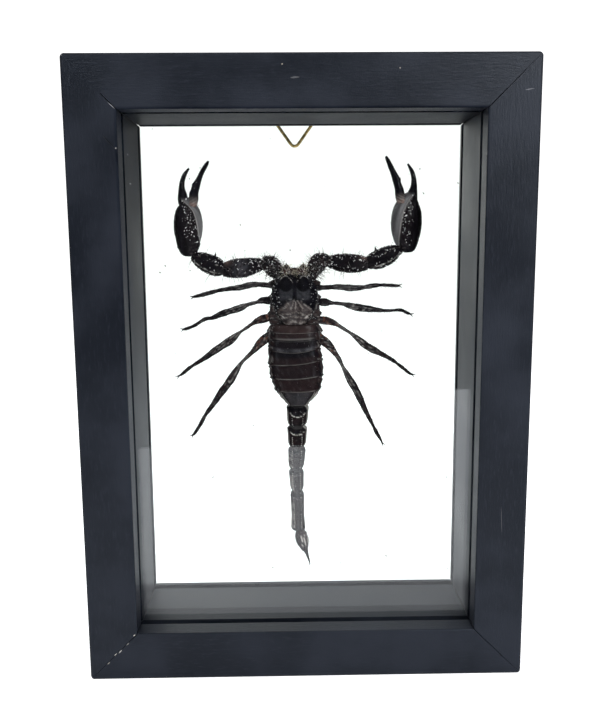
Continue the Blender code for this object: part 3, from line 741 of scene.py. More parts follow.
@dataclass
class Growths:
    """Geometry Nodes trees for what repeats on the shell: granules, hairs and rows of spines."""

    granules: bpy.types.NodeTree = field(init=False)
    hairs: bpy.types.NodeTree = field(init=False)
    row: bpy.types.NodeTree = field(init=False)

    def __post_init__(self) -> None:
        """Builds the trees."""
        self.granules = self._granules()
        self.hairs = self._hairs()
        self.row = self._row()

    @staticmethod
    def _random(graph: Graph, low: object, high: object, seed: object) -> Socket:
        """A random number for each point."""
        return graph.node("FunctionNodeRandomValue", {2: low, 3: high, 8: seed}, data_type="FLOAT").outputs[1]

    @staticmethod
    def _painted(graph: Graph, name: str, kind: str = "FLOAT") -> Socket:
        """A value painted on the geometry."""
        return graph.node("GeometryNodeInputNamedAttribute", {"Name": name}, data_type=kind).outputs[0]

    @staticmethod
    def _set(graph: Graph, points: Socket, item: Socket, turn: Socket, scale: Socket) -> Socket:
        """An item set on every point, turned and scaled."""
        inputs = {"Points": points, "Instance": item, "Rotation": turn, "Scale": scale}
        return graph.node("GeometryNodeInstanceOnPoints", inputs).outputs[0]

    @staticmethod
    def _finish(graph: Graph, start: bpy.types.NodeOutputs, end: bpy.types.Node, geometry: Socket) -> None:
        """Ends a tree with real geometry in the given finish."""
        real = graph.node("GeometryNodeRealizeInstances", {"Geometry": geometry}).outputs[0]
        done = graph.node("GeometryNodeSetMaterial", {"Geometry": real, "Material": start["Finish"]})
        graph.feed(end, {"Geometry": done.outputs[0]})

    def _granules(self) -> bpy.types.NodeTree:
        """Small long domes scattered where the granule share is high, spaced apart, some with tops painted
        pale for wear and as glints.
        """
        inputs = {"Density": (FLOAT, 4e6), "Spacing": (FLOAT, 0.0004), "Radius": (FLOAT, 0.0003),
                  "Flatness": (FLOAT, 0.8), "Rubbed": (FLOAT, 0.3), "Seed": (INTEGER, 3),
                  "Keep Surface": (SWITCH, True), "Finish": (FINISH, None)}
        tree, graph, start, end = growth_tree("scattered_granules", inputs)
        spread = {"Mesh": start["Geometry"], "Distance Min": start["Spacing"], "Seed": start["Seed"],
                  "Density Max": start["Density"], "Density Factor": self._painted(graph, "granules")}
        points = graph.node("GeometryNodeDistributePointsOnFaces", spread,
                            distribute_method="POISSON").outputs
        dome = graph.node("GeometryNodeMeshUVSphere", {"Segments": 8, "Rings": 5, "Radius": 1.0}).outputs[0]
        smooth = graph.node("GeometryNodeSetShadeSmooth", {"Geometry": dome}).outputs[0]
        size = graph.times(self._random(graph, 0.55, 1.2, start["Seed"]), start["Radius"])
        scale = graph.joined(graph.times(size, self._random(graph, 0.9, 1.9, 23)),
                             graph.times(size, self._random(graph, 0.5, 1.0, 24)),
                             graph.times(size, start["Flatness"]))
        placed = self._set(graph, points["Points"], smooth, points["Rotation"], scale)
        spin = graph.joined(0.0, 0.0, self._random(graph, -1.57, 1.57, 25))
        placed = graph.node("GeometryNodeRotateInstances", {"Instances": placed, "Rotation": spin}).outputs[0]
        # A share of granules gets tops painted pale: wear, and painted glints.
        luck = graph.less(self._random(graph, 0.0, 1.0, 17), graph.less(1.0, start["Rubbed"]))
        named = {"Geometry": placed, "Name": "rubbed", "Value": graph.times(luck, 2.1, clamp=True)}
        placed = graph.node("GeometryNodeStoreNamedAttribute", named, data_type="FLOAT",
                            domain="INSTANCE").outputs[0]
        kept = graph.node("GeometryNodeSwitch", {0: start["Keep Surface"], 2: start["Geometry"]},
                          input_type="GEOMETRY").outputs[0]
        joined = graph.node("GeometryNodeJoinGeometry")
        graph.feed(joined, {0: placed})
        graph.feed(joined, {0: kept})
        self._finish(graph, start, end, joined.outputs[0])
        return tree

    def _hairs(self) -> bpy.types.NodeTree:
        """Curved tapering hairs where the hair share is high."""
        inputs = {"Density": (FLOAT, 1e6), "Length": (FLOAT, 0.002), "Slimness": (FLOAT, 0.02),
                  "Lean": (FLOAT, 0.5), "Seed": (INTEGER, 5), "Finish": (FINISH, None)}
        tree, graph, start, end = growth_tree("stiff_hairs", inputs)
        spread = {"Mesh": start["Geometry"], "Seed": start["Seed"],
                  "Density": graph.times(self._painted(graph, "hairs"), start["Density"])}
        points = graph.node("GeometryNodeDistributePointsOnFaces", spread).outputs
        bow = {"Resolution": 5, "Start": (0, 0, -0.02), "Middle": (0, 0, 0.55), "End": (0.3, 0, 1)}
        line = graph.node("GeometryNodeCurveQuadraticBezier", bow).outputs[0]
        along = graph.node("GeometryNodeSplineParameter").outputs["Factor"]
        profile = graph.node("GeometryNodeCurvePrimitiveCircle", {"Resolution": 3, "Radius": 1.0}).outputs[0]
        sweep = {"Curve": line, "Profile Curve": profile, "Fill Caps": True,
                 "Scale": graph.times(graph.less(1.06, along), start["Slimness"])}
        hair = graph.node("GeometryNodeCurveToMesh", sweep).outputs[0]
        length = graph.times(self._random(graph, 0.45, 1.15, start["Seed"]), start["Length"])
        placed = self._set(graph, points["Points"], hair, points["Rotation"], length)
        low = graph.times(start["Lean"], -1.0)
        lean = start["Lean"]
        turn = graph.joined(self._random(graph, low, lean, 11), self._random(graph, low, lean, 12),
                            self._random(graph, -3.14, 3.14, 13))
        leaned = graph.node("GeometryNodeRotateInstances", {"Instances": placed, "Rotation": turn}).outputs[0]
        self._finish(graph, start, end, leaned)
        return tree

    def _row(self) -> bpy.types.NodeTree:
        """Spines set along a guide line, each leaning as the guide's attribute says."""
        inputs = {"Count": (INTEGER, 20), "Length": (FLOAT, 0.0006), "Radius": (FLOAT, 0.0002),
                  "Seed": (INTEGER, 7), "Finish": (FINISH, None)}
        tree, graph, start, end = growth_tree("row_of_spines", inputs)
        guide = graph.node("GeometryNodeMeshToCurve", {"Mesh": start["Geometry"]}).outputs[0]
        even = graph.node("GeometryNodeResampleCurve", {"Curve": guide, "Count": start["Count"]}).outputs[0]
        lean = self._painted(graph, "lean", "FLOAT_VECTOR")
        turn = graph.node("FunctionNodeAlignRotationToVector", {"Vector": lean}, axis="Z").outputs[0]
        cone = {"Vertices": 6, "Side Segments": 2, "Fill Segments": 1, "Radius Top": 0.00003,
                "Radius Bottom": start["Radius"], "Depth": start["Length"]}
        spine = graph.node("GeometryNodeMeshCone", cone).outputs[0]
        self._finish(graph, start, end,
                     self._set(graph, even, spine, turn, self._random(graph, 0.6, 1.2, start["Seed"])))
        return tree


def grown(base: bpy.types.Mesh, tree: bpy.types.NodeTree, values: dict[str, object]) -> bpy.types.Mesh:
    """Runs a Geometry Nodes tree on a mesh.

    Args:
        base: the mesh that the tree starts from.
        tree: the tree.
        values: its named inputs.

    Returns:
        The result as a plain mesh.
    """
    item = linked(base.name + "_draft", base)
    modifier = item.modifiers.new(tree.name, "NODES")
    modifier.node_group = tree
    for socket in tree.interface.items_tree:
        if socket.item_type == "SOCKET" and socket.in_out == "INPUT" and socket.name in values:
            modifier[socket.identifier] = values[socket.name]
    return baked(item)


@dataclass
class Bench:
    """Turns meshes into the part's pieces."""

    nodes: dict[str, bpy.types.Object]
    growths: Growths
    shell: bpy.types.Material
    hair: bpy.types.Material
    straw: bpy.types.Material
    hair_slimness: float = 0.025

    def finish(self, name: str, material: bpy.types.Material) -> None:
        """Gives a carried CAD node its finish."""
        mesh = self.nodes[name].data
        mesh.materials.clear()
        mesh.materials.append(material)
        LOG.info("%s: finished", name)

    def piece(self, name: str, mesh: bpy.types.Mesh, material: bpy.types.Material,
              nodes: Sequence[str] = ()) -> None:
        """Adds a finished piece.

        Args:
            name: the piece's name.
            mesh: its mesh, already in place.
            material: its finish.
            nodes: CAD nodes that it stands for.
        """
        mesh.materials.clear()
        mesh.materials.append(material)
        item = linked(name, mesh)
        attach(item, FRAME_BODY)
        if nodes:
            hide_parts(*nodes)
        LOG.info("%s: %d faces", name, len(mesh.polygons))

    def shell_piece(self, name: str, shell: Shell, nodes: Sequence[str],
                    granule: float = 0.0, spacing: float = 0.42, rubbed: float = 0.2,
                    rows: Sequence[Spines] = (), hair: float = 0.0, hair_length: float = 1.6,
                    straw: bool = False, seed: int = 3) -> None:
        """Finishes a shell: its granules and spines join it, and its hairs are a piece of their own.

        Args:
            name: the piece's name.
            shell: the collected bodies.
            nodes: CAD nodes that it stands for.
            granule: a granule's radius in millimetres, 0 for none.
            spacing: least distance between granules, in millimetres.
            rubbed: share of granules whose tops are painted pale, for wear and as glints.
            rows: rows of spines on it.
            hair: hairs per square millimetre, 0 for none.
            hair_length: their length in millimetres.
            straw: whether the hairs are straw-coloured.
            seed: seed of everything random on it.
        """
        base = shell.mesh(name)
        mesh = base
        if granule:
            values = {"Spacing": spacing * MM, "Radius": granule * MM, "Rubbed": rubbed, "Seed": seed,
                      "Finish": self.shell}
            mesh = grown(base, self.growths.granules, values)
        if rows:
            mesh = merged(mesh, [row.mesh(self, name) for row in rows])
        if hair:
            values = {"Density": hair / MM ** 2, "Length": hair_length * MM, "Seed": seed,
                      "Slimness": self.hair_slimness, "Finish": self.hair}
            strands = grown(base, self.growths.hairs, values)
            if strands.polygons:
                strands.shade_smooth()
                self.piece(name + "_hairs", strands, self.straw if straw else self.hair)
        self.piece(name + "_shell", mesh, self.shell, nodes)


@dataclass(frozen=True)
class Spines:
    """A row of spines along a line of (place, lean) pairs, with sizes in millimetres."""

    line: Sequence[tuple[Vector, Vector]]
    count: int
    length: float
    radius: float
    seed: int = 7

    def mesh(self, bench: Bench, name: str) -> bpy.types.Mesh:
        """The row's spines as a mesh."""
        guide = bpy.data.meshes.new(name + "_guide")
        places = [place for place, _ in self.line]
        guide.from_pydata(places, [(i, i + 1) for i in range(len(places) - 1)], [])
        lean = guide.attributes.new("lean", "FLOAT_VECTOR", "POINT")
        for i, (_, direction) in enumerate(self.line):
            lean.data[i].vector = direction.normalized()
        values = {"Count": self.count, "Length": self.length * MM, "Radius": self.radius * MM,
                  "Seed": self.seed, "Finish": bench.shell}
        return grown(guide, bench.growths.row, values)


def merged(mesh: bpy.types.Mesh, others: Sequence[bpy.types.Mesh]) -> bpy.types.Mesh:
    """Several meshes as one, keeping the painted values of the first."""
    bm = bmesh.new()
    for source in (mesh, *others):
        bm.from_mesh(source)
    bm.to_mesh(mesh)
    bm.free()
    mesh.shade_smooth()
    return mesh


ABDOMEN_HALF: Half = ((0, 1), (0.3, 0.98), (0.57, 0.88), (0.8, 0.66), (0.94, 0.38), (1, 0.12), (0.95, -0.06),
                      (0.97, -0.32), (0.84, -0.7), (0.52, -0.95), (0, -1))
TAIL_HALF: Half = ((0, 0.8), (0.3, 0.88), (0.5, 1), (0.74, 0.74), (1, 0.5), (0.9, 0.02), (1, -0.42),
                   (0.74, -0.76), (0.42, -1), (0, -0.86))
HAND_HALF: Half = ((0, 1), (0.38, 0.9), (0.62, 0.86), (0.88, 0.45), (1, 0), (0.86, -0.52), (0.48, -0.88),
                   (0, -1))
CORNERED_HALF: Half = ((0, 0.86), (0.5, 1), (0.9, 0.62), (1, 0.1), (0.84, -0.6), (0.42, -0.96), (0, -1))
LEG_HALF: Half = ((0, 1), (0.72, 0.7), (1, 0), (0.72, -0.7), (0, -1))


@dataclass
class HeadShield:
    """The head shield with its two smooth lobes, the fold below them painted grey as sheen, eyes and creased
    brown rear, over the body.
    """

    centre_x: float = -3.0
    depth: float = 32.2
    drop: float = 4.7
    lobe_at: tuple[float, float] = (3.3, 144.1)
    lobe_radius: float = 2.55
    eye_at: tuple[float, float] = (0.62, 139.2)
    eye_radius: float = 0.30
    eye_rise: float = 5.30
    hips: tuple[tuple[float, float, float], ...] = (
        (143.2, 145.0, 1.5), (137.6, 140.2, 1.7), (131.2, 134.6, 1.9), (124.4, 130.0, 2.1))
    hip_reach: tuple[float, float] = (1.5, 9.8)
    rings_between: int = 6
    rows: tuple[tuple[float, ...], ...] = (
        (147.55, 3.2, 3.1, 0.9, 1.3, 1.5), (147.3, 4.9, 4.7, 1.3, 2.0, 1.5), (146.6, 6.0, 5.9, 2.2, 3.4, 1.3),
        (145.0, 7.2, 7.2, 3.0, 4.5, 0.6), (143.0, 8.1, 8.2, 3.8, 4.8, 0), (141.0, 8.5, 8.7, 4.3, 4.4, 0),
        (139.6, 8.7, 9.0, 5.0, 4.5, 0), (138.0, 8.6, 9.2, 4.5, 4.7, 0), (135.4, 8.1, 9.4, 4.2, 4.8, 0),
        (132.6, 7.0, 9.4, 4.1, 4.8, 0), (130.2, 5.4, 9.5, 4.2, 4.7, 0), (128.4, 4.2, 9.3, 4.1, 4.4, 0))
    shield_half: Half = ((0.36, 1), (0.66, 0.82), (0.9, 0.46), (1, 0.22))
    body_half: Half = ((1, 0.28), (0.78, 0.74), (0.4, 0.96), (0, 0.9))

    def dress(self, across: float, front: float, shield: float, z: float) -> Dress:
        """The dress at a point of the head.

        Args:
            across: distance from the middle line, in millimetres.
            front: height towards the viewer, in millimetres.
            shield: half width of the shield there.
            z: height in the tables.

        Returns:
            The dress.
        """
        if front < 0:
            return Dress(0.1 * ripple(across, z, 1.3), Tone(brown=0.5))
        side = abs(across)
        if side > shield * 1.01:
            fold = 0.16 * math.sin(across * 1.1 + z * 3.4)
            skin = ramp(z, 136.5, 134.0)
            low = skin * ramp(ripple(across, z, 1.0, 9.0), -0.35, 0.25)
            lift = fold + 0.20 * ripple(across, z, 0.8)
            pale = 0.16 * skin * ramp(ripple(across, z, 0.7, 3.0), 0.25, 0.5)
            # A broken pale line painted along the shield's edge as a highlight.
            rim = 0.3 * swell(side, shield * 1.03 + 0.1, 0.08) * ramp(z, 130.4, 131.4)
            rim *= ramp(ripple(across, z, 0.8, 6.0), -0.3, 0.1)
            tone = Tone(0.06 + 0.58 * low, 0.08, min(1.0, pale + rim))
            return Dress(lift, tone, 0.5 * (1 - low), 0.12, 0.5)
        lobe = math.hypot(side - self.lobe_at[0], (z - self.lobe_at[1]) * 0.93) / self.lobe_radius
        dome = max(0.0, 1 - lobe * lobe)
        lift = 0.40 * dome - 0.25 * swell(lobe, 1.07, 0.10)
        # fold: the band below the lobes, painted grey as sheen.
        fold = ramp(lobe, 1.04, 1.16) * ramp(z, 137.4, 138.5) * ramp(z, 142.6, 141.8)
        fold *= ramp(side, 0.45, 1.1) * ramp(side, 6.3, 5.4) * (0.75 + 0.5 * ripple(across, z, 1.1, 6.0))
        fringe = swell(z, 137.9, 0.45) * ramp(side, 4.5, 3.5)
        edge = 137.7 - 0.085 * side * side + 0.5 * ripple(across, z, 1.0, 8.0)
        rear = ramp(z, edge + 0.3, edge - 0.4) * ramp(side, shield * 0.97, shield * 0.84)
        spread = math.atan2(across, 139.5 - z) * 15 + 2.0 * ripple(across, z, 1.7)
        wave = z * 3.6 + 3.4 * ripple(across, z, 2.2, 7.0) + 0.10 * across * across
        worked = 0.9 * math.sin(spread) * ramp(z, 133.2, 135.0) + 0.9 * math.sin(wave) * ramp(z, 134.6, 132.4)
        worked += 1.1 * ripple(across, z, 0.55, 2.2)
        lift += rear * 0.24 * worked
        lift -= 0.12 * swell(side, 0, 0.35) * ramp(z, 139, 146) + 0.18 * fringe
        lift += 0.42 * swell(side, 0, 0.95) * swell(z, self.eye_at[1], 1.2)
        rim = ramp(side, shield * 0.86, shield * 0.95)
        lift += 0.28 * swell(side, shield * 0.93, 0.32) * ramp(z, 144, 140)
        ridge, groove = ramp(worked, 0.45, 1.1), ramp(worked, -0.1, -0.75)
        # Painted highlights in pale: glints at the rear corners of the shield and a broken line along its
        # edge.
        glint = 1.2 * swell(side, 4.5, 0.6) * swell(z, 131.5 + 0.65 * (side - 4.5), 0.20)
        border_highlight = 0.5 * swell(side, shield * 0.985, 0.085) * ramp(z, 137.0, 135.5) * ramp(z, 129.6, 130.4)
        border_highlight *= ramp(ripple(across, z, 0.5, 9.0), -0.3, 0.1)
        front_edge = 0.9 * swell(lobe, 1.05, 0.042) * ramp(z, 144.6, 145.6)
        front_edge *= 0.85 * ramp(ripple(across, z, 0.5, 1.0), -0.3, 0.15)
        # Pale spots painted along the fringe below the fold as glints.
        fringe_glints = swell(z, 138.0, 0.35) * ramp(side, 3.6, 3.0)
        fringe_glints *= ramp(ripple(across, z, 0.5, 4.0), 0.15, 0.4)
        granules = (1 - dome ** 0.3) * (1 - rear) * (1 - fold) * ramp(side, 4.9, 6.2)
        granules += 0.5 * swell(z, 147.0, 0.7)
        crack = swell(worked, 0.05, 0.16)
        rear_brown = 0.80 * rear * (1 - 0.75 * groove) * (1 - 0.3 * rim) * (1 - 0.7 * crack)
        rear_grey = rear * (0.38 - 0.34 * groove) * (1 - 0.7 * crack)
        pale = rear * (0.02 + 0.22 * ridge) + glint + border_highlight + front_edge + 0.5 * fringe_glints
        tone = Tone(rear_brown, 0.34 * fold + rear_grey, min(1.0, pale))
        dull = (1 - rear) * (1 - 0.6 * fold)
        return Dress(lift, tone, min(1.0, granules), 0.5 * ramp(z, 146.2, 147.2), dull)

    def rings(self) -> list[list[tuple[Vector, Dress]]]:
        """Every ring of the head from its front edge back."""
        rings = []
        for i in range((len(self.rows) - 1) * self.rings_between + 1):
            z, shield, body, middle, lobe, notch = smooth_row(self.rows, i / self.rings_between)
            half = [(0, middle), (0.14 * shield, 0.96 * middle)]
            half += [(across * shield, rise * lobe) for across, rise in self.shield_half]
            half += [(body, min(0.6, 0.12 * lobe))]
            half += [(across * body, -drop * self.drop) for across, drop in self.body_half]
            ring = []
            for across, front in ring_outline(half, 4):
                back = notch * max(0.0, 1 - abs(across) / (0.5 * shield)) if front > 0 else 0.0
                dress = self.dress(across, front, shield, z)
                out = Vector((across * 0.35, front)).normalized() * dress.lift
                place = at(self.centre_x + across + out.x, self.depth - front - out.y, z - back)
                ring.append((place, dress))
            rings.append(ring)
        return rings

    def underside(self, shell: Shell) -> None:
        """Adds the leg bases and the plates between them to the belly."""
        middle = self.centre_x
        mouth = ((145.0, 34.6, 4.6, 2.0), (147.6, 34.4, 4.4, 1.9), (149.2, 34.2, 3.2, 1.5),
                 (150.0, 34.1, 1.2, 0.8))
        breast = ((137.5, 36.9, 0.9, 0.5), (135.8, 37.0, 1.6, 0.9), (133.4, 37.0, 1.3, 0.9),
                  (131.6, 36.9, 0.6, 0.5))
        for plate, dresser in ((mouth, coat(Tone(0.6), 0.6)), (breast, coat(Tone(0.8)))):
            shell.limb([(middle, *station) for station in plate], LEG_HALF, dresser)
        for side in Side:
            inner, outer = (middle + side.value * out for out in self.hip_reach)
            for hip, root, girth in self.hips:
                route = [(inner, root, 36.6, girth * 0.5, 0.6),
                         (inner + (outer - inner) * 0.3, root, 36.7, girth * 0.9, 1.1),
                         (inner + (outer - inner) * 0.7, (root + hip) / 2, 36.2, girth, 1.6),
                         (outer, hip, 34.9, girth * 0.8, 1.4)]
                shell.limb(route, LEG_HALF, coat(Tone(0.55), 0.3))

    def build(self, bench: Bench) -> None:
        """Makes the head."""
        shell = Shell()
        shell.loft(self.rings())
        for side in Side:
            x = self.centre_x + side.value * self.eye_at[0]
            shell.bead(at(x, self.depth - self.eye_rise, self.eye_at[1]), (self.eye_radius,) * 3, steps=6)
            for k in range(3):
                x = self.centre_x + side.value * (5.7 + 0.5 * k)
                place = at(x, self.depth - 3.2 + 0.5 * k, 145.9 - 0.75 * k)
                shell.bead(place, (self.eye_radius,) * 3, Tone(grey=0.2), 5)
        self.underside(shell)
        bench.shell_piece("head", shell, ["scorpion_head_shield"], granule=0.19, spacing=0.45, rubbed=0.35,
                          hair=0.8, hair_length=1.6, seed=21)


@dataclass
class Abdomen:
    """Seven overlapping back plates, ribbed side skin, belly plates with breathing slits, and the combs."""

    belly_x: float = -3.0
    depth: float = 32.4
    rise: float = 4.9
    drop: float = 4.7
    lift: float = 0.55
    edges: tuple[tuple[float, float, float], ...] = (
        (128.3, -3.2, 9.4), (125.6, -3.15, 9.8), (122.5, -3.2, 10.0), (119.2, -3.3, 10.1),
        (113.6, -2.85, 10.5), (107.9, -2.35, 10.2), (102.6, -2.0, 8.7), (96.8, -2.1, 3.6))
    bows: tuple[float, ...] = (0.2, 0.5, 0.6, 1.7, 0.7, 0.6, 0.4, 0.0)
    tilts: tuple[float, ...] = (0.0, 0.1, 0.15, 0.3, 0.9, 0.5, 0.1, 0.0)
    tones: tuple[Tone, ...] = (Tone(0.80, 0.08), Tone(0.50, 0.02), Tone(0.10, 0.0), Tone(0.42, 0.0),
                               Tone(0.34, 0.0), Tone(0.50, 0.0), Tone(0.20, 0.26))
    rims: tuple[float, ...] = (0.18, 0.07, 0.12, 0.16, 0.19, 0.13, 0.08)
    stations: tuple[tuple[float, float], ...] = (
        (0.0, 0.0), (0.05, 0.05), (0.15, 0.2), (0.3, 0.45), (0.5, 0.6), (0.7, 0.72), (0.84, 0.85), (0.9, 1.0),
        (0.935, 1.45), (0.965, 1.5), (0.985, 1.1), (0.996, 0.3))

    def rings(self) -> list[list[tuple[Vector, Dress]]]:
        """Every ring from the head shield down."""
        outline = ring_outline(ABDOMEN_HALF, 4)
        rings = []
        for i, ((z0, x0, w0), (z1, x1, w1)) in enumerate(zip(self.edges, self.edges[1:])):
            for share, lifted in self.stations:
                z, x, w = z0 + (z1 - z0) * share, x0 + (x1 - x0) * share, w0 + (w1 - w0) * share
                if i == len(self.edges) - 2:
                    w += 0.35 * math.sin(math.pi * share)
                slim = min(1.0, 0.5 + 0.5 * w / 8.0)
                bow = self.bows[i] + (self.bows[i + 1] - self.bows[i]) * share
                tilt = self.tilts[i] + (self.tilts[i + 1] - self.tilts[i]) * share
                ring = []
                for across, front in outline:
                    dress = self.dress(i, share, across, front, x + across * w, z)
                    lift = self.lift * lifted if front > 0.05 else 0.25 * lifted
                    reach = (self.rise if front > 0 else self.drop) * slim * front
                    reach += (lift + dress.lift) * (1 if front > 0 else -1) * min(1.0, abs(front) * 2.5)
                    wide = across * (w + 0.2 * lifted) + dress.lift * across
                    bent = -bow * (1 - across * across) + tilt * across if front > 0 else 0.0
                    ring.append((at(x + wide, self.depth - reach, z + bent), dress))
                rings.append(ring)
        return rings

    def dress(self, plate: int, share: float, across: float, front: float, x: float, z: float) -> Dress:
        """The dress at a point of a plate."""
        side = abs(across)
        if side > 0.93 and abs(front) < 0.4:
            fold = 0.22 * math.sin(z * 4.2 + x) + 0.12 * ripple(x, z, 0.7)
            return Dress(fold, Tone(brown=0.5, grey=0.12), 0, 0.06)
        if front < 0:
            slit = swell(side, 0.62, 0.13) * swell(share, 0.45, 0.1) if 2 <= plate <= 5 else 0.0
            return Dress(-0.3 * slit, Tone(brown=0.65 * (1 - slit), grey=0.05))
        rim = ramp(share, 0.905, 0.93) * (1 - ramp(share, 0.975, 0.99))
        tone = self.tones[plate]
        mottle = ripple(x, z, 2.2, plate)
        middle = 1 - ramp(side, 0.55, 0.9)
        brown = tone.brown * (0.75 + 0.35 * mottle)
        grey = tone.grey * (0.8 + 0.5 * mottle) * (0.4 + 0.6 * middle)
        # Plate 2: a band of grey painted as sheen near its hind edge.
        if plate == 2:
            grey += 0.50 * ramp(share, 0.58, 0.66) * ramp(share, 0.93, 0.88) * (0.6 + 1.3 * mottle)
        if plate == 3:
            brown *= ramp(share, 0.25, 0.60)
        pale = rim * self.rims[plate] * (1 - ramp(side, 0.70, 0.84)) * (0.8 + 0.5 * mottle)
        if plate == 1:
            pale += 0.15 * swell(share, 0.70, 0.03) * middle
            brown *= 1 - 0.85 * ramp(share, 0.60, 0.74)
        edge_mottle = ramp(side, 0.78, 0.86) * ramp(ripple(x, z, 0.7, 8.0 + plate), 0.2, 0.45)
        pale += 0.20 * edge_mottle
        grey += 0.30 * swell(side, 0.66, 0.06) * ramp(ripple(x, z, 1.6, 11.0 + plate), -0.2, 0.4)
        grey += 0.16 * ramp(ripple(x * 2.0, z * 0.6, 0.9, 14.0), 0.15, 0.6) * middle
        flank = ramp(side, 0.76, 0.84)
        brown = brown * (1 - flank) + flank * 0.5 * ramp(ripple(x, z, 1.2, 3.0 + plate), -0.3, 0.3)
        if plate == 6:
            grey *= 1 - ramp(side, 0.48, 0.66)
            # Two pale lines painted along the plate's sides as highlights.
            pale += (1.0 * swell(side, 0.93, 0.045) + 0.45 * swell(side, 0.80, 0.02)) * ramp(share, 0.0, 0.2)
            brown *= 1 - 0.8 * swell(side, 0.0, 0.2) * swell(share, 0.25, 0.2)
        crease = 0.05 * ripple(x, z, 0.8, 1.0 + plate) - 0.22 * swell(side, 0.80, 0.045)
        crease += flank * 0.12 * ripple(x, z, 0.8, 5.0)
        keel = 0.16 * swell(side, 0.0, 0.05) if plate < 6 else 0.0
        side_keel = 0.22 * (swell(side, 0.26, 0.05) + swell(side, 0.6, 0.06)) if plate == 6 else 0.0
        granules = ramp(side, 0.62, 0.85) * 0.8 + (0.45 if plate == 6 else 0.12)
        dull = 0.88 * (1 - rim) * (1 - min(1.0, 1.6 * grey))
        tone = Tone(brown, grey, min(1.0, pale))
        return Dress(crease + keel + side_keel, tone, granules * (1 - rim), 0.04, dull)

    def combs(self, shell: Shell) -> list[Spines]:
        """Adds the two comb bars to the belly.

        Args:
            shell: the shell that they join.

        Returns:
            Rows of teeth that hang from the bars.
        """
        bar = ((1.0, 128.0, 37.2, 0.5, 0.4), (3.4, 127.4, 37.4, 0.75, 0.5), (6.2, 125.6, 37.3, 0.6, 0.45),
               (8.0, 123.4, 37.0, 0.25, 0.25))
        rows = []
        for side in Side:
            hang = Vector((0.25 * side.value, 0.15, -1))
            route = [(self.belly_x + side.value * out, *rest) for out, *rest in bar]
            shell.limb(route, LEG_HALF, coat(Tone(brown=0.9, pale=0.15)))
            line = [(at(x, depth + 0.1, z - 0.2), hang) for x, z, depth, _, _ in route]
            rows.append(Spines(line, 15, 1.7, 0.24))
        return rows

    def build(self, bench: Bench) -> None:
        """Makes the abdomen."""
        shell = Shell()
        shell.loft(self.rings())
        shell.bead(at(self.belly_x, 37.0, 129.2), (1.5, 0.6, 1.0), Tone(brown=0.7))
        bench.shell_piece("abdomen", shell, ["scorpion_abdomen"], granule=0.12, spacing=0.5,
                          rubbed=0.12, rows=self.combs(shell), hair=0.25, hair_length=0.9, seed=31)


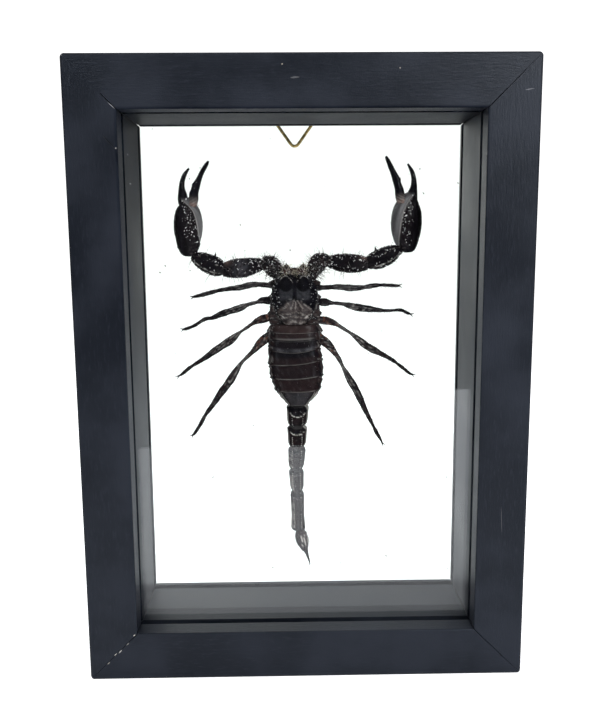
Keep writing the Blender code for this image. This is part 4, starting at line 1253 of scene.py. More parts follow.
@dataclass
class Tail:
    """Five keeled tail segments and the sting."""

    depth: float = 33.4
    thickness: float = 0.9
    rings_each: int = 36
    joints: tuple[tuple[float, float, float], ...] = (
        (96.6, -2.1, 4.3), (88.0, -2.35, 3.9), (79.5, -2.5, 3.45), (70.3, -2.9, 2.9), (61.4, -2.6, 2.7),
        (44.7, -2.2, 2.7))
    profile: tuple[tuple[float, float], ...] = (
        (0.0, 0.62), (0.03, 0.76), (0.08, 0.94), (0.15, 1.02), (0.3, 1.0), (0.5, 0.98), (0.68, 0.97),
        (0.8, 0.93), (0.9, 0.84), (0.96, 0.76), (1.0, 0.64))
    last: tuple[tuple[float, float], ...] = (
        (0.0, 0.62), (0.03, 0.8), (0.08, 0.97), (0.16, 1.0), (0.35, 0.95), (0.5, 0.93), (0.65, 0.93),
        (0.8, 0.96), (0.9, 1.04), (0.95, 1.0), (0.98, 0.86), (1.0, 0.7))
    # Each arc: where along its segment it meets the sides, how much further along it lies at the middle, and
    # the strength of the pale highlight painted on it.
    arcs: tuple[tuple[float, float, float], ...] = (
        (0.11, 0.345, 1.3), (0.08, 0.20, 1.3), (0.14, 0.06, 0.6), (0.12, 0.07, 0.7), (0.08, 0.06, 0.6))
    sting: tuple[Station, ...] = (
        (-1.6, 45.0, 33.4, 1.3, 1.5), (-1.4, 43.8, 33.4, 2.0, 2.1), (-1.0, 42.0, 33.5, 2.55, 2.55),
        (-0.5, 40.0, 33.6, 2.55, 2.55), (-0.1, 38.4, 33.8, 2.2, 2.2), (0.3, 36.8, 33.9, 1.55, 1.6),
        (0.9, 35.2, 34.0, 0.9, 1.0), (1.4, 33.4, 34.1, 0.58, 0.6), (2.0, 31.4, 34.3, 0.4, 0.42),
        (2.4, 29.6, 34.7, 0.24, 0.25), (2.3, 28.6, 35.0, 0.1, 0.1))

    def stations(self) -> list[tuple[int, float, float, float, float]]:
        """Segment, share, z, x and half width of every ring."""
        result = []
        for i, ((z0, x0, w0), (z1, x1, w1)) in enumerate(zip(self.joints, self.joints[1:])):
            table = self.last if i == 4 else self.profile
            for step in range(self.rings_each):
                share = 0.5 - 0.5 * math.cos(math.pi * (0.04 + 0.95 * step / (self.rings_each - 1)))
                half = (w0 + (w1 - w0) * share * 0.5) * between(table, share)
                result.append((i, share, z0 + (z1 - z0) * share, x0 + (x1 - x0) * share, half))
        return result

    def dress(self, segment: int, share: float, across: float, front: float, x: float, z: float) -> Dress:
        """The dress at a point of a segment."""
        side = abs(across)
        neck = 1 - ramp(share, 0.0, 0.07) + ramp(share, 0.93, 0.99)
        crest = swell(side, 0.5, 0.12) if front > 0.3 else swell(side, 1.0, 0.1)
        at_side, deeper, arc_highlight_share = self.arcs[segment]
        arc = at_side + deeper * (1 - across * across)
        body = ramp(share, arc, arc + 0.06) * (1 - ramp(share, 0.86, 0.93))
        knobs = 0.16 * max(0.0, math.sin(z * 7.5)) * crest * body
        top = ramp(front, 0.1, 0.5)
        lift = knobs - 0.20 * swell(side, 0, 0.3) * body * top
        lift -= top * 0.40 * (1 - ramp(share, arc - 0.05, arc - 0.01)) * ramp(share, 0.0, 0.06)
        lift += 0.16 * top * swell(share, arc, 0.03) + 0.06 * top * math.sin(share * 70) * (1 - body)
        lift += 0.07 * ripple(x, z, 0.7, segment)
        late = ramp(segment, 1, 2)
        # A pale arc painted across the segment as a highlight.
        arc_highlight = swell(share, arc + 0.005, 0.018) * top * ramp(side, 0.74, 0.62)
        arc_highlight *= arc_highlight_share * ramp(ripple(x, z, 0.55, 2.0), -0.35 + 0.35 * late, 0.35 * late)
        keel_line = swell(across, -0.62, 0.06) + 0.8 * swell(across, -0.82, 0.05)
        keel_line *= late * ramp(share, 0.12, 0.3)
        keel_line *= 0.62 * ramp(ripple(x, z, 1.5), -0.4, 0.1) * top
        ledge = (swell(across, -0.95, 0.05) * body + swell(across, 0.95, 0.05)) * (1 - late) * 0.5
        brown = 0.22 * body + 0.18 * ramp(ripple(x, z, 1.2), 0, 0.5)
        film = 0.22 * late * ramp(side, 0.86, 0.66) * ramp(share, 0.02, 0.2)
        film *= 0.7 + 0.6 * ripple(x, z, 1.8, 3.0)
        tone = Tone(brown, min(1.0, max(0.0, film)), min(1.0, arc_highlight + keel_line + ledge + 0.04 * neck))
        ragged = ramp(segment, 3.5, 4) * 0.4
        seam = max(swell(across, -0.72, 0.035), swell(side, 0.90, 0.05), swell(across, 0.66, 0.04) * body)
        dull = 0.8 * (1 - late) + late * (0.75 * seam + 0.30 * ramp(ripple(x, z, 0.8, 4.0), 0.0, 0.4))
        dull = min(1.0, dull + 0.32 * swell(segment, 2, 0.4))
        return Dress(lift, tone, min(1.0, 0.08 + ragged + 0.5 * crest * body), 0.10, dull)

    def keels(self) -> list[Spines]:
        """Rows of pointed granules along the back and side keels of each segment."""
        rows = []
        for i in range(5):
            start, count = (0.5, 5) if i < 2 else (0.15, 9)
            inner = [row[2:] for row in self.stations() if row[0] == i and start <= row[1] <= 0.9]
            for s in (-1, 1):
                back = [(at(x + s * 0.5 * w, self.depth - w * self.thickness * 0.97, z),
                         Vector((s * 0.5, -1, -0.5))) for z, x, w in inner]
                flank = [(at(x + s * 0.97 * w, self.depth - w * 0.42, z), Vector((s, -0.4, -0.5)))
                         for z, x, w in inner]
                rows.append(Spines(back, count if i < 4 else 15, 0.42, 0.17, seed=i + 2))
                rows.append(Spines(flank, count if i < 4 else 17, 0.40, 0.17, seed=i + 12))
                if i == 4 and s < 0:
                    rows.append(Spines(flank[len(flank) * 2 // 3:], 8, 0.95, 0.24, seed=33))
        return rows

    def build(self, bench: Bench) -> None:
        """Makes the tail and the sting."""
        outline = ring_outline(TAIL_HALF, 3)
        rings = []
        for segment, share, z, x, half in self.stations():
            ring = []
            for across, front in outline:
                dress = self.dress(segment, share, across, front, x + across * half, z)
                out = Vector((across, front)).normalized() * dress.lift
                bow = 1.0 * (1 - across * across) * ramp(front, 0, 0.4) * (1 - ramp(share, 0.3, 0.95))
                reach = front * half * self.thickness + out.y
                ring.append((at(x + across * half + out.x, self.depth - reach, z - bow), dress))
            rings.append(ring)
        shell = Shell()
        shell.loft(rings)
        bench.shell_piece("tail", shell, ["scorpion_tail"], granule=0.14, spacing=0.42, rubbed=0.3,
                          rows=self.keels(), hair=0.35, hair_length=1.5, seed=41)
        shell = Shell()
        shell.limb(self.sting, round_half(8), self.sting_dress, between=6, smooth=2)
        bench.shell_piece("sting", shell, ["scorpion_stinger"], granule=0.12, spacing=0.5, hair=1.4,
                          hair_length=1.9, seed=43)

    @staticmethod
    def sting_dress(along: float, across: float, front: float, x: float, z: float) -> Dress:
        """The dress of the sting's bulb and point."""
        bulb = 1 - ramp(along, 0.45, 0.62)
        stripes = 0.10 * math.sin(across * 11) * bulb * ramp(along, 0.06, 0.2)
        # Slanted pale stripes on the bulb, painted as highlights.
        slant = across * 13 + along * 9
        white = ramp(math.sin(slant), 0.3, 0.8) * ramp(along, 0.12, 0.2) * ramp(along, 0.46, 0.36)
        white *= ramp(front, 0.2, 0.5) * ramp(across, -0.45, -0.2)
        tone = Tone(0.45 * bulb, 0.25 * bulb * ramp(math.sin(across * 11), 0, 1), min(1.0, 1.2 * white))
        return Dress(stripes + 0.05 * ripple(x, z, 0.6), tone, 0.3 * bulb, bulb)


@dataclass(frozen=True)
class PincerForm:
    """Stations of one pincer from root to tip, and what marks it.

    The ridge of the hand is (share along, share towards the body). The spur runs from base to tip in x and z.
    The thigh is rough up to a share along it, which fades out by another.
    """

    coxa: tuple[Station, ...]
    trochanter: tuple[Station, ...]
    femur: tuple[Station, ...]
    patella: tuple[Station, ...]
    hand: tuple[Station, ...]
    finger: tuple[Station, ...]
    ridge: tuple[tuple[float, float], ...]
    warm_spot: tuple[float, float]
    spur: tuple[tuple[float, float], tuple[float, float]]
    tooth_station: int
    rough_until: tuple[float, float]


PINCER_FORMS: dict[Side, PincerForm] = {
    Side.LEFT: PincerForm(
        coxa=((-5.6, 144.6, 34.3, 1.8, 1.8), (-7.4, 146.2, 33.9, 2.8, 2.6), (-9.3, 148.1, 33.6, 2.8, 2.7),
            (-10.9, 149.9, 33.5, 2.2, 2.3), (-11.8, 151.0, 33.5, 1.2, 1.4)),
        trochanter=((-9.8, 147.2, 34.0, 2.2, 2.6), (-10.6, 149.0, 33.6, 2.9, 3.0),
            (-11.8, 150.9, 33.3, 3.4, 3.2), (-13.6, 151.5, 33.2, 3.0, 2.9), (-15.2, 151.5, 33.2, 2.1, 2.2)),
        femur=((-14.9, 151.5, 33.2, 1.7, 1.8), (-16.6, 151.2, 33.2, 2.35, 2.5),
            (-19.0, 150.8, 33.1, 3.0, 3.1), (-22.0, 150.2, 33.0, 3.5, 3.3), (-25.5, 149.9, 33.0, 3.5, 3.3),
            (-28.3, 149.6, 33.1, 3.0, 2.9), (-30.4, 149.5, 33.2, 2.3, 2.3)),
        patella=((-29.6, 149.5, 33.2, 1.9, 2.0), (-31.2, 149.9, 33.2, 2.9, 2.7),
            (-33.0, 150.6, 33.2, 3.6, 3.1), (-35.8, 151.8, 33.2, 3.6, 3.3), (-38.6, 153.2, 33.2, 3.1, 3.0),
            (-40.6, 154.2, 33.3, 2.2, 2.3), (-42.0, 154.9, 33.4, 1.4, 1.5)),
        hand=((-43.9, 154.6, 33.6, 1.2, 1.5), (-43.8, 155.6, 33.5, 2.8, 2.5),
            (-43.5, 157.6, 33.5, 4.0, 3.3), (-43.4, 160.4, 33.4, 4.6, 3.8), (-43.3, 163.4, 33.4, 5.3, 4.1),
            (-43.2, 166.8, 33.4, 5.5, 4.1), (-43.3, 170.2, 33.4, 5.1, 3.8), (-43.6, 172.8, 33.5, 4.2, 3.3),
            (-44.1, 174.6, 33.5, 3.1, 2.7), (-44.9, 176.0, 33.5, 2.1, 2.1), (-45.1, 178.0, 33.5, 1.7, 1.8),
            (-45.3, 180.2, 33.6, 1.2, 1.4), (-45.0, 182.8, 33.7, 0.95, 1.1),
            (-44.0, 185.3, 33.8, 0.78, 0.8), (-42.4, 187.5, 34.0, 0.36, 0.36)),
        finger=((-41.6, 172.4, 33.2, 0.9, 1.6), (-41.3, 173.8, 32.6, 1.6, 2.1),
            (-40.9, 175.6, 32.8, 1.8, 2.1), (-40.8, 177.6, 33.3, 1.75, 1.8),
            (-40.3, 179.4, 33.2, 1.55, 1.6), (-39.7, 181.2, 33.2, 1.5, 1.4),
            (-38.7, 183.4, 33.3, 1.05, 1.2), (-37.5, 186.0, 33.4, 0.9, 1.0),
            (-36.0, 188.4, 33.6, 0.78, 0.7), (-35.0, 190.1, 33.8, 0.38, 0.36)),
        ridge=((0.15, 1.1), (0.20, 0.96), (0.29, 0.71), (0.37, 0.59), (0.45, 0.47), (0.58, 0.0),
            (0.66, -0.3)),
        warm_spot=(-28.8, 152.2), spur=((-33.4, 153.6), (-32.8, 155.9)),
        tooth_station=5, rough_until=(0.32, 0.46)),
    Side.RIGHT: PincerForm(
        coxa=((-0.3, 144.6, 34.3, 1.8, 1.8), (1.7, 146.3, 33.9, 2.8, 2.6), (3.6, 148.3, 33.6, 2.8, 2.7),
            (5.2, 150.2, 33.5, 2.2, 2.3), (6.2, 151.4, 33.5, 1.2, 1.4)),
        trochanter=((3.9, 147.4, 34.0, 2.2, 2.6), (4.7, 149.4, 33.6, 2.9, 3.0),
            (6.2, 151.7, 33.3, 3.4, 3.2), (8.2, 152.5, 33.2, 2.9, 2.9), (9.8, 152.4, 33.2, 2.1, 2.2)),
        femur=((9.6, 152.3, 33.2, 1.8, 1.8), (11.6, 152.1, 33.2, 2.5, 2.5), (14.0, 151.9, 33.1, 3.1, 3.1),
            (17.0, 151.6, 33.0, 3.4, 3.3), (20.2, 151.4, 33.0, 3.35, 3.3), (22.8, 151.4, 33.1, 2.9, 2.9),
            (25.1, 151.4, 33.2, 2.3, 2.3)),
        patella=((24.4, 151.4, 33.2, 1.9, 2.0), (26.3, 151.9, 33.2, 2.8, 2.7),
            (28.6, 152.7, 33.2, 3.5, 3.1), (31.6, 153.9, 33.2, 3.6, 3.3), (34.4, 155.3, 33.2, 3.1, 3.0),
            (36.3, 156.2, 33.3, 2.2, 2.3), (38.4, 156.6, 33.4, 1.4, 1.5)),
        hand=((40.9, 155.5, 33.6, 1.4, 1.5), (40.8, 156.5, 33.5, 2.8, 2.5), (40.5, 158.4, 33.5, 4.0, 3.3),
            (40.1, 160.8, 33.4, 5.0, 3.8), (39.9, 163.8, 33.4, 5.7, 4.1), (39.9, 167.4, 33.4, 5.9, 4.1),
            (40.1, 170.8, 33.4, 5.6, 3.8), (40.6, 173.6, 33.5, 4.6, 3.3), (41.3, 175.8, 33.5, 3.2, 2.7),
            (42.0, 177.4, 33.5, 2.1, 2.1), (42.4, 179.2, 33.5, 1.5, 1.8), (42.6, 180.8, 33.6, 1.2, 1.4),
            (42.5, 183.2, 33.7, 0.95, 1.1), (41.8, 185.9, 33.8, 0.78, 0.8),
            (40.2, 188.7, 34.0, 0.36, 0.36)),
        finger=((38.2, 172.8, 33.2, 0.9, 1.6), (37.9, 174.2, 32.6, 1.7, 2.1), (37.5, 176.0, 32.8, 1.9, 2.1),
            (37.2, 177.8, 33.3, 1.8, 1.8), (36.9, 179.4, 33.2, 1.65, 1.6), (36.3, 181.2, 33.2, 1.45, 1.4),
            (35.8, 182.9, 33.2, 1.5, 1.3), (34.8, 185.2, 33.3, 1.15, 1.1), (33.6, 187.8, 33.5, 0.95, 0.9),
            (32.6, 190.0, 33.7, 0.75, 0.65), (31.9, 191.5, 33.9, 0.42, 0.38)),
        ridge=((0.11, 1.1), (0.175, 0.7), (0.29, 0.44), (0.405, 0.30), (0.565, 0.04), (0.65, -0.3)),
        warm_spot=(23.5, 153.6), spur=((28.4, 155.6), (27.7, 157.9)),
        tooth_station=6, rough_until=(0.24, 0.36))}
@dataclass
class Pincer:
    """One pincer: its three-part arm, swollen hand and movable finger."""

    side: Side

    @property
    def form(self) -> PincerForm:
        """The stations and marks of this side."""
        return PINCER_FORMS[self.side]

    def hand_dress(self, along: float, across: float, front: float, x: float, z: float) -> Dress:
        """The dress of the hand and fixed finger."""
        inward = across * self.side.value
        hand = 1 - ramp(along, 0.58, 0.68)
        if front < 0:
            return Dress(0.04 * ripple(x, z, 1.2), Tone(brown=0.3 * hand), 0.05 * hand)
        past = inward - between(self.form.ridge, along)
        strip = ramp(past, 0.01, 0.07) * hand
        ribs = 0.07 * math.sin(past * 24) * strip
        lift = (0.26 * swell(past, 0, 0.06) - 0.36 * strip * swell(past, 0.2, 0.2)) * hand + ribs
        folds = 0.10 * ripple(x, z, 1.3, 3.0) * (1 - strip) * hand
        pimpled = ramp(inward, -0.40, -0.05) * (1 - strip) * hand * ramp(along, 0.10, 0.40)
        foot = swell(along, 0.12, 0.07) * ramp(inward, 0.0, 0.4) * (1 - strip)
        foot *= ramp(ripple(x, z, 0.8, 5.0), -0.1, 0.3)
        fade = 1 - 0.6 * ramp(past, 0.06, 0.6)
        # The grey on the smooth strip is painted sheen.
        grey = 1.1 * strip * fade * (0.85 + 0.30 * math.sin(past * 24)) + 0.30 * foot
        pale = 0.42 * swell(past, 0.05, 0.04) * hand * ramp(along, 0.16, 0.3) + 0.13 * strip * fade
        net = pimpled * ramp(ripple(x, z, 0.55, 8.0), 0.1, 0.45) * 0.35
        tone = Tone(0.12 * pimpled + 0.04 * hand + 0.3 * foot, min(1.0, grey + net), min(1.0, pale))
        dull = (1 - strip) * (1 - 0.5 * pimpled) * 0.9 * ramp(along, 0.95, 0.75)
        return Dress(lift + folds, tone, min(1.0, pimpled * 1.2), 0.03, dull)

    def finger_dress(self, along: float, across: float, front: float, x: float, z: float) -> Dress:
        """The dress of the movable finger, with brown skin at its hinge."""
        skin = 1 - ramp(along, 0.14, 0.34)
        lift = 0.10 * math.sin(z * 6.0) * skin + 0.05 * ripple(x, z, 0.6)
        lines = ramp(math.sin((z + 0.6 * x * self.side.value) * 5.5), 0.5, 0.95)
        tone = Tone(0.95 * skin, 0.0, (0.10 + 0.18 * lines) * skin)
        return Dress(lift, tone, 0.30 * (1 - skin), 0.05 + 0.5 * skin, 0.7 * (1 - skin))

    def arm_dress(self, part: int) -> Dresser:
        """The dress of one part of the arm."""

        def dress(along: float, across: float, front: float, x: float, z: float) -> Dress:
            """Knobs along the corners, brown and pale skin at the joints."""
            edge = swell(abs(across), 0.5, 0.16) + swell(abs(across), 0.95, 0.12) if front > -0.2 else 0.0
            joint = 1 - ramp(along, 0.0, 0.10) + ramp(along, 0.93, 1.0)
            rough = (0.34, 0.18, 0.12)[part]
            lift = edge * 0.12 + rough * ripple(x, z, 0.75, part) - 0.12 * joint
            if part == 2:
                lift += 0.10 * math.cos(across * 10)
            spot = self.form.warm_spot
            warm = swell(math.hypot((x - spot[0]) * 0.6, z - spot[1]), 0, 1.1) * (part == 1)
            film = streak = 0.0
            if part == 1 and self.side is Side.LEFT:
                film = 0.55 * swell(along, 0.56, 0.14) * ramp(ripple(x, z, 0.9, 4.0), -0.5, 0.2)
            if part == 2:
                out = across * self.side.value
                streak = swell(out, -0.62, 0.03) * ramp(ripple(x, z, 0.7), -0.1, 0.2) * ramp(along, 0.1, 0.2)
                streak += 0.8 * swell(out, 0.1 + 0.5 * along, 0.04) * ramp(ripple(x, z, 0.6, 2.0), 0.0, 0.3)
            brown = (0.35, 0.12, 0.08)[part] * ramp(ripple(x, z, 1.4, 7.0), -0.3, 0.3)
            pale = min(1.0, 0.03 * joint + 0.5 * streak + 0.05 * warm)
            tone = Tone(min(1.0, brown + 0.95 * warm), film, pale)
            inner = 1 - ramp(along, *self.form.rough_until)
            granules = (1.0, 0.05 + 0.7 * edge + 1.0 * inner, 0.08 + 0.8 * edge)[part] * (1 - 0.7 * joint)
            dull = (0.3, 0.85, 0.85)[part]
            return Dress(lift, tone, min(1.0, granules) * (front > -0.4), (0.9, 0.30, 0.12)[part], dull)

        return dress

    def spines(self, route: Sequence[Station], shares: tuple[float, float], edge: float, count: int,
               length: float) -> Spines:
        """A row of spines along one edge of an arm part.

        Args:
            route: the part's stations.
            shares: where the row starts and ends along it.
            edge: which edge, as a share across.
            count: spines in the row.
            length: their length in millimetres.

        Returns:
            The row.
        """
        line = []
        for i in range(9):
            share = shares[0] + (shares[1] - shares[0]) * i / 8
            place = share * (len(route) - 1)
            x, z, depth, width, thick = smooth_row(route, place)
            ahead = smooth_row(route, min(place + 0.1, len(route) - 1))
            behind = smooth_row(route, max(place - 0.1, 0))
            along = Vector((ahead[0] - behind[0], ahead[1] - behind[1])).normalized()
            out = Vector((-along.y, along.x)) * edge
            direction = Vector((out.x, -0.35, out.y)) + Vector((along.x, 0, along.y)) * 0.3
            reach = out * width * 0.92
            line.append((at(x + reach.x, depth - thick * 0.25, z + reach.y), direction))
        return Spines(line, count, length, 0.19, seed=count)

    def build(self, bench: Bench) -> None:
        """Makes the arm, hand and finger."""
        word, out, form = self.side.word, self.side.value, self.form
        arm = Shell()
        for part, route in enumerate((form.trochanter, form.femur, form.patella)):
            arm.limb(route, CORNERED_HALF, self.arm_dress(part), between=5, smooth=4)
        rows = [self.spines(form.femur, (0.1, 0.72), out, 17, 0.85),
                self.spines(form.femur, (0.15, 0.8), -out, 10, 0.5),
                self.spines(form.patella, (0.25, 0.8), out, 7, 0.5),
                self.spines(form.trochanter, (0.35, 0.95), out, 6, 0.9)]
        arm.limb(form.coxa, CORNERED_HALF, self.arm_dress(0), between=5, smooth=4)
        base, tip = form.spur
        arm.spike(at(base[0], 32.0, base[1]), at(tip[0], 31.4, tip[1]), 0.62)
        bench.shell_piece("pincer_arm_" + word, arm, ["pincer_arm_" + word], granule=0.25, spacing=0.47,
                          rubbed=0.42, rows=rows, hair=0.5, hair_length=3.6, seed=51 + out)
        hand = Shell()
        hand.limb(form.hand, HAND_HALF, self.hand_dress, between=6, smooth=6)
        teeth = self.spines(form.hand, (0.66, 0.95), out, 12, 0.3)
        bench.shell_piece("pincer_hand_" + word, hand, ["pincer_hand_" + word], granule=0.24, spacing=0.44,
                          rubbed=0.5, rows=[teeth], hair=0.15, hair_length=1.2, seed=61 + out)
        finger = Shell()
        finger.limb(form.finger, round_half(7), self.finger_dress, between=6, smooth=2)
        x, z, depth, width, _ = form.finger[form.tooth_station]
        finger.bead(at(x + out * width * 0.8, depth - 0.3, z), (0.55, 0.6, 0.8))
        teeth = self.spines(form.finger, (0.45, 0.95), -out, 13, 0.3)
        bench.shell_piece("pincer_finger_" + word, finger, ["pincer_finger_" + word], granule=0.14,
                          rows=[teeth], hair=0.3, hair_length=1.0, seed=71 + out)


@dataclass
class Jaws:
    """The two jaws with their dark points and straw-coloured bristles."""

    tables: tuple[tuple[Side, float], ...] = ((Side.LEFT, -6.1), (Side.RIGHT, 0.3))

    def build(self, bench: Bench) -> None:
        """Makes both jaws."""
        for side, x in self.tables:
            s = side.value
            shell = Shell()
            route = [(x - 0.2 * s, 146.9, 33.2, 1.8, 1.5), (x - 0.2 * s, 148.0, 32.6, 2.25, 2.1),
                     (x - 0.1 * s, 149.2, 32.4, 2.0, 2.1), (x, 150.3, 32.7, 1.35, 1.6),
                     (x + 0.1 * s, 151.2, 33.0, 0.6, 0.8)]
            shell.limb(route, round_half(7), self.dress, between=5, smooth=2)
            for offset, reach in ((-0.45, 0.7), (0.15, 1.4), (0.6, 0.8)):
                base = at(x + offset, 32.6, 150.3)
                shell.spike(base, at(x + offset * 0.6 + 0.15 * s, 32.9, 150.6 + reach), 0.36, Tone(), 0.15)
            bench.shell_piece("jaw_" + side.word, shell, ["scorpion_jaw_" + side.word], hair=4.2,
                              hair_length=2.0, straw=True, seed=81 + s)

    @staticmethod
    def dress(along: float, across: float, front: float, x: float, z: float) -> Dress:
        """The dress of a jaw."""
        low = 1 - ramp(along, 0.45, 0.8)
        tone = Tone(0.2 + 0.6 * low, 0.04, 0.40 * low * ramp(ripple(x, z, 0.6), 0.1, 0.35))
        return Dress(0.1 * ripple(x, z, 0.7), tone, 0.2, ramp(along, 0.0, 0.3) * (front > -0.2))


LEG_DEPTHS = (33.9, 33.0, 33.2, 34.4, 36.4, 37.9)
LEG_TABLES: dict[str, tuple[tuple[float, float, float], ...]] = {
    "leg_left_1": ((-10.6, 143.1, 1.1), (-11.6, 143.2, 1.16), (-15.7, 143.6, .95), (-19.5, 143.6, 1.16),
                   (-23.7, 142.6, 1.16), (-27.9, 142.1, .91), (-32.1, 141.4, .74), (-36.3, 140.3, .83),
                   (-40.5, 139.2, .72), (-42.8, 138.7, .42)),
    "leg_left_2": ((-11.2, 137.5, 1.2), (-12.3, 137.4, 1.47), (-15.4, 137.5, 1.36), (-17.5, 136.9, .74),
                   (-20.9, 136, .83), (-24.3, 134.6, 1.36), (-27.2, 133.7, 1.26), (-31.5, 132.3, 1.26),
                   (-34.9, 130.8, .83), (-38.3, 130.1, .74), (-42.1, 127.7, .64), (-45.5, 126.3, .64),
                   (-47.0, 126, .36)),
    "leg_left_3": ((-11.8, 131.2, 1.3), (-13.4, 130.8, 1.55), (-16.4, 130, 1.55), (-18.7, 129, .87),
                   (-21.5, 127.1, .62), (-24.5, 125.1, .68), (-27.5, 122.5, 1.55), (-30.9, 120.2, 1.45),
                   (-34.8, 117.6, 1.36), (-37.6, 115.5, 1.07), (-40.4, 113.6, .87), (-43.4, 111.7, .64),
                   (-45.5, 110.2, .74), (-47.7, 108.3, .58), (-49.4, 107.3, .34)),
    "leg_left_4": ((-12.0, 124.6, 1.5), (-13.7, 123.2, 1.74), (-16.3, 121.1, 1.74), (-18.6, 118.5, 1.16),
                   (-21.2, 116, .78), (-24.3, 112.8, .78), (-27.3, 108.1, 1.55), (-29.5, 104.8, 1.51),
                   (-32.1, 101.4, 1.45), (-34.4, 98, 1.16), (-36.6, 94.9, .97), (-38.8, 91.9, .74),
                   (-41, 87.9, .78), (-43.5, 84, .58), (-44.5, 83.2, .34)),
    "leg_right_1": ((4.8, 142.1, 1.1), (6.3, 142.2, 1.16), (9.5, 142.3, .87), (13.8, 142.5, 1.09),
                    (19, 142, 1.3), (23.8, 142.2, .87), (27.3, 142.7, .97), (30.7, 142.9, .64),
                    (34.2, 142.7, .68), (37.2, 142.5, .56), (38.1, 142.5, .3)),
    "leg_right_2": ((5.0, 136.9, 1.1), (6.4, 136.7, 1.16), (8.6, 136.6, 1.63), (11.7, 136.3, .76),
                    (15.6, 135.9, .78), (19.5, 134.9, 1.34), (23, 134.2, 1.45), (27.3, 133.6, 1.16),
                    (30.8, 133.1, .78), (34.3, 132.9, .58), (38.6, 133, .64), (41.3, 131.8, .6),
                    (42.9, 131.2, .34)),
    "leg_right_3": ((5.6, 130.2, 1.3), (7.1, 129.7, 1.51), (9.9, 129.3, 1.55), (12.7, 128.3, .97),
                    (15.6, 126.5, .68), (19.1, 124.2, .68), (22.1, 121.8, 1.26), (24.8, 119.5, 1.45),
                    (28.3, 117.4, 1.36), (31.4, 115.7, .97), (34.9, 113.7, .81), (37.6, 111.7, .58),
                    (40, 109.8, .68), (42.5, 107.7, .55), (43.9, 107.1, .34)),
    "leg_right_4": ((5.8, 123.8, 1.5), (7.3, 122.3, 1.74), (9.9, 120.1, 1.74), (12.1, 117.4, 1.16),
                    (14.1, 114.5, .87), (16, 110.7, .74), (18.5, 106, 1.45), (20.5, 102.6, 1.45),
                    (22.7, 98.1, 1.36), (24.5, 94, 1.07), (26.3, 90.3, .87), (28.1, 86.7, .64),
                    (29.7, 83.4, .78), (31, 81.2, .54), (32.1, 78.9, .34)),
}


@dataclass
class Leg:
    """A walking leg with its swollen joints, foot spines and forked claw."""

    name: str
    thickness: float = 0.86
    claw_length: float = 1.5
    claw_spread: float = 32.0

    @property
    def rear(self) -> bool:
        """Whether this is one of the brown-thighed rear legs."""
        return self.name.endswith(("3", "4"))

    def route(self) -> list[Station]:
        """Stations with the depth that the leg's reach gives."""
        table = LEG_TABLES[self.name]
        start, end = table[0][0], table[-1][0]
        result = []
        for x, z, width in table:
            share = (x - start) / (end - start)
            (depth,) = smooth_row([(d,) for d in LEG_DEPTHS], share * (len(LEG_DEPTHS) - 1))
            result.append((x, z, depth, width, width * self.thickness))
        return result

    def dress(self, along: float, across: float, front: float, x: float, z: float) -> Dress:
        """The dress at a point of the leg."""
        thigh = 1 - ramp(along, 0.20, 0.32)
        neck = swell(along, 0.33, 0.07)
        stain = ramp(ripple(x, z, 1.3, 4.0), -0.35, 0.3)
        brown = ((1.0 if self.rear else 0.15) * thigh + (0.35 if self.rear else 0.08) * (1 - thigh)) * stain
        keel = swell(across, 0.15, 0.11) + 0.8 * swell(across, -0.6, 0.10) if front > 0 else 0.0
        knots = 0.10 * ripple(x, z, 0.7, 5.0) + 0.05 * math.sin(along * 70)
        # Streaks: grey and pale lines painted along the keels as highlights.
        streak = keel * ramp(ripple(x, z, 1.5, 6.0), -0.1, 0.35)
        stretch = swell(along, 0.47, 0.10) + 0.5 * neck
        grey = min(1.0, 0.07 * neck + 0.42 * streak)
        spots = ramp(ripple(x, z, 0.8, 2.0), 0.35, 0.55) * (0.4 * stretch + 0.35 * thigh * self.rear)
        pale = 0.03 * neck + streak * (0.20 + 0.46 * stretch) + spots
        hairs = 0.25 + 0.5 * ramp(along, 0.6, 0.9)
        return Dress(0.12 * keel + knots, Tone(min(1.0, brown), grey, min(1.0, pale)), 0.25, hairs, 0.6)

    def build(self, bench: Bench) -> None:
        """Makes the leg."""
        route = self.route()
        shell = Shell()
        shell.limb(route, LEG_HALF, self.dress, between=6, smooth=3)
        tip, before = route[-1], route[-3]
        along = Vector((tip[0] - before[0], tip[1] - before[1])).normalized()
        base = at(tip[0] - along.x * 0.3, tip[2], tip[1] - along.y * 0.3)
        for turn in (-self.claw_spread, self.claw_spread):
            way = Matrix.Rotation(math.radians(turn), 2) @ along
            end = at(tip[0] + way.x * self.claw_length, tip[2] + 0.2, tip[1] + way.y * self.claw_length)
            shell.spike(base, end, 0.27, Tone(brown=0.2), -0.12)
        rows = []
        for edge in (-1, 1):
            line = []
            for i in range(6):
                x, z, depth, width, _ = smooth_row(route, (len(route) - 1) * (0.70 + 0.05 * i))
                out = Vector((-along.y, along.x)) * edge
                direction = Vector((out.x, 0.2, out.y)) + Vector((along.x, 0, along.y)) * 0.8
                line.append((at(x + out.x * width * 0.8, depth, z + out.y * width * 0.8), direction))
            rows.append(Spines(line, 6, 0.7, 0.13, seed=edge + 4))
        bench.shell_piece(self.name, shell, [self.name], granule=0.10, spacing=0.45, rubbed=0.3,
                          rows=rows, hair=0.9, hair_length=1.1, seed=len(route) + int(self.name[-1]))


@dataclass
class GluePad:
    """The clear dab that holds the scorpion on the back pane."""

    effects: Effects

    def build(self, bench: Bench) -> None:
        """Finishes the glue."""
        bench.finish("glue_pad", SetGlue(self.effects).material("set_glue"))


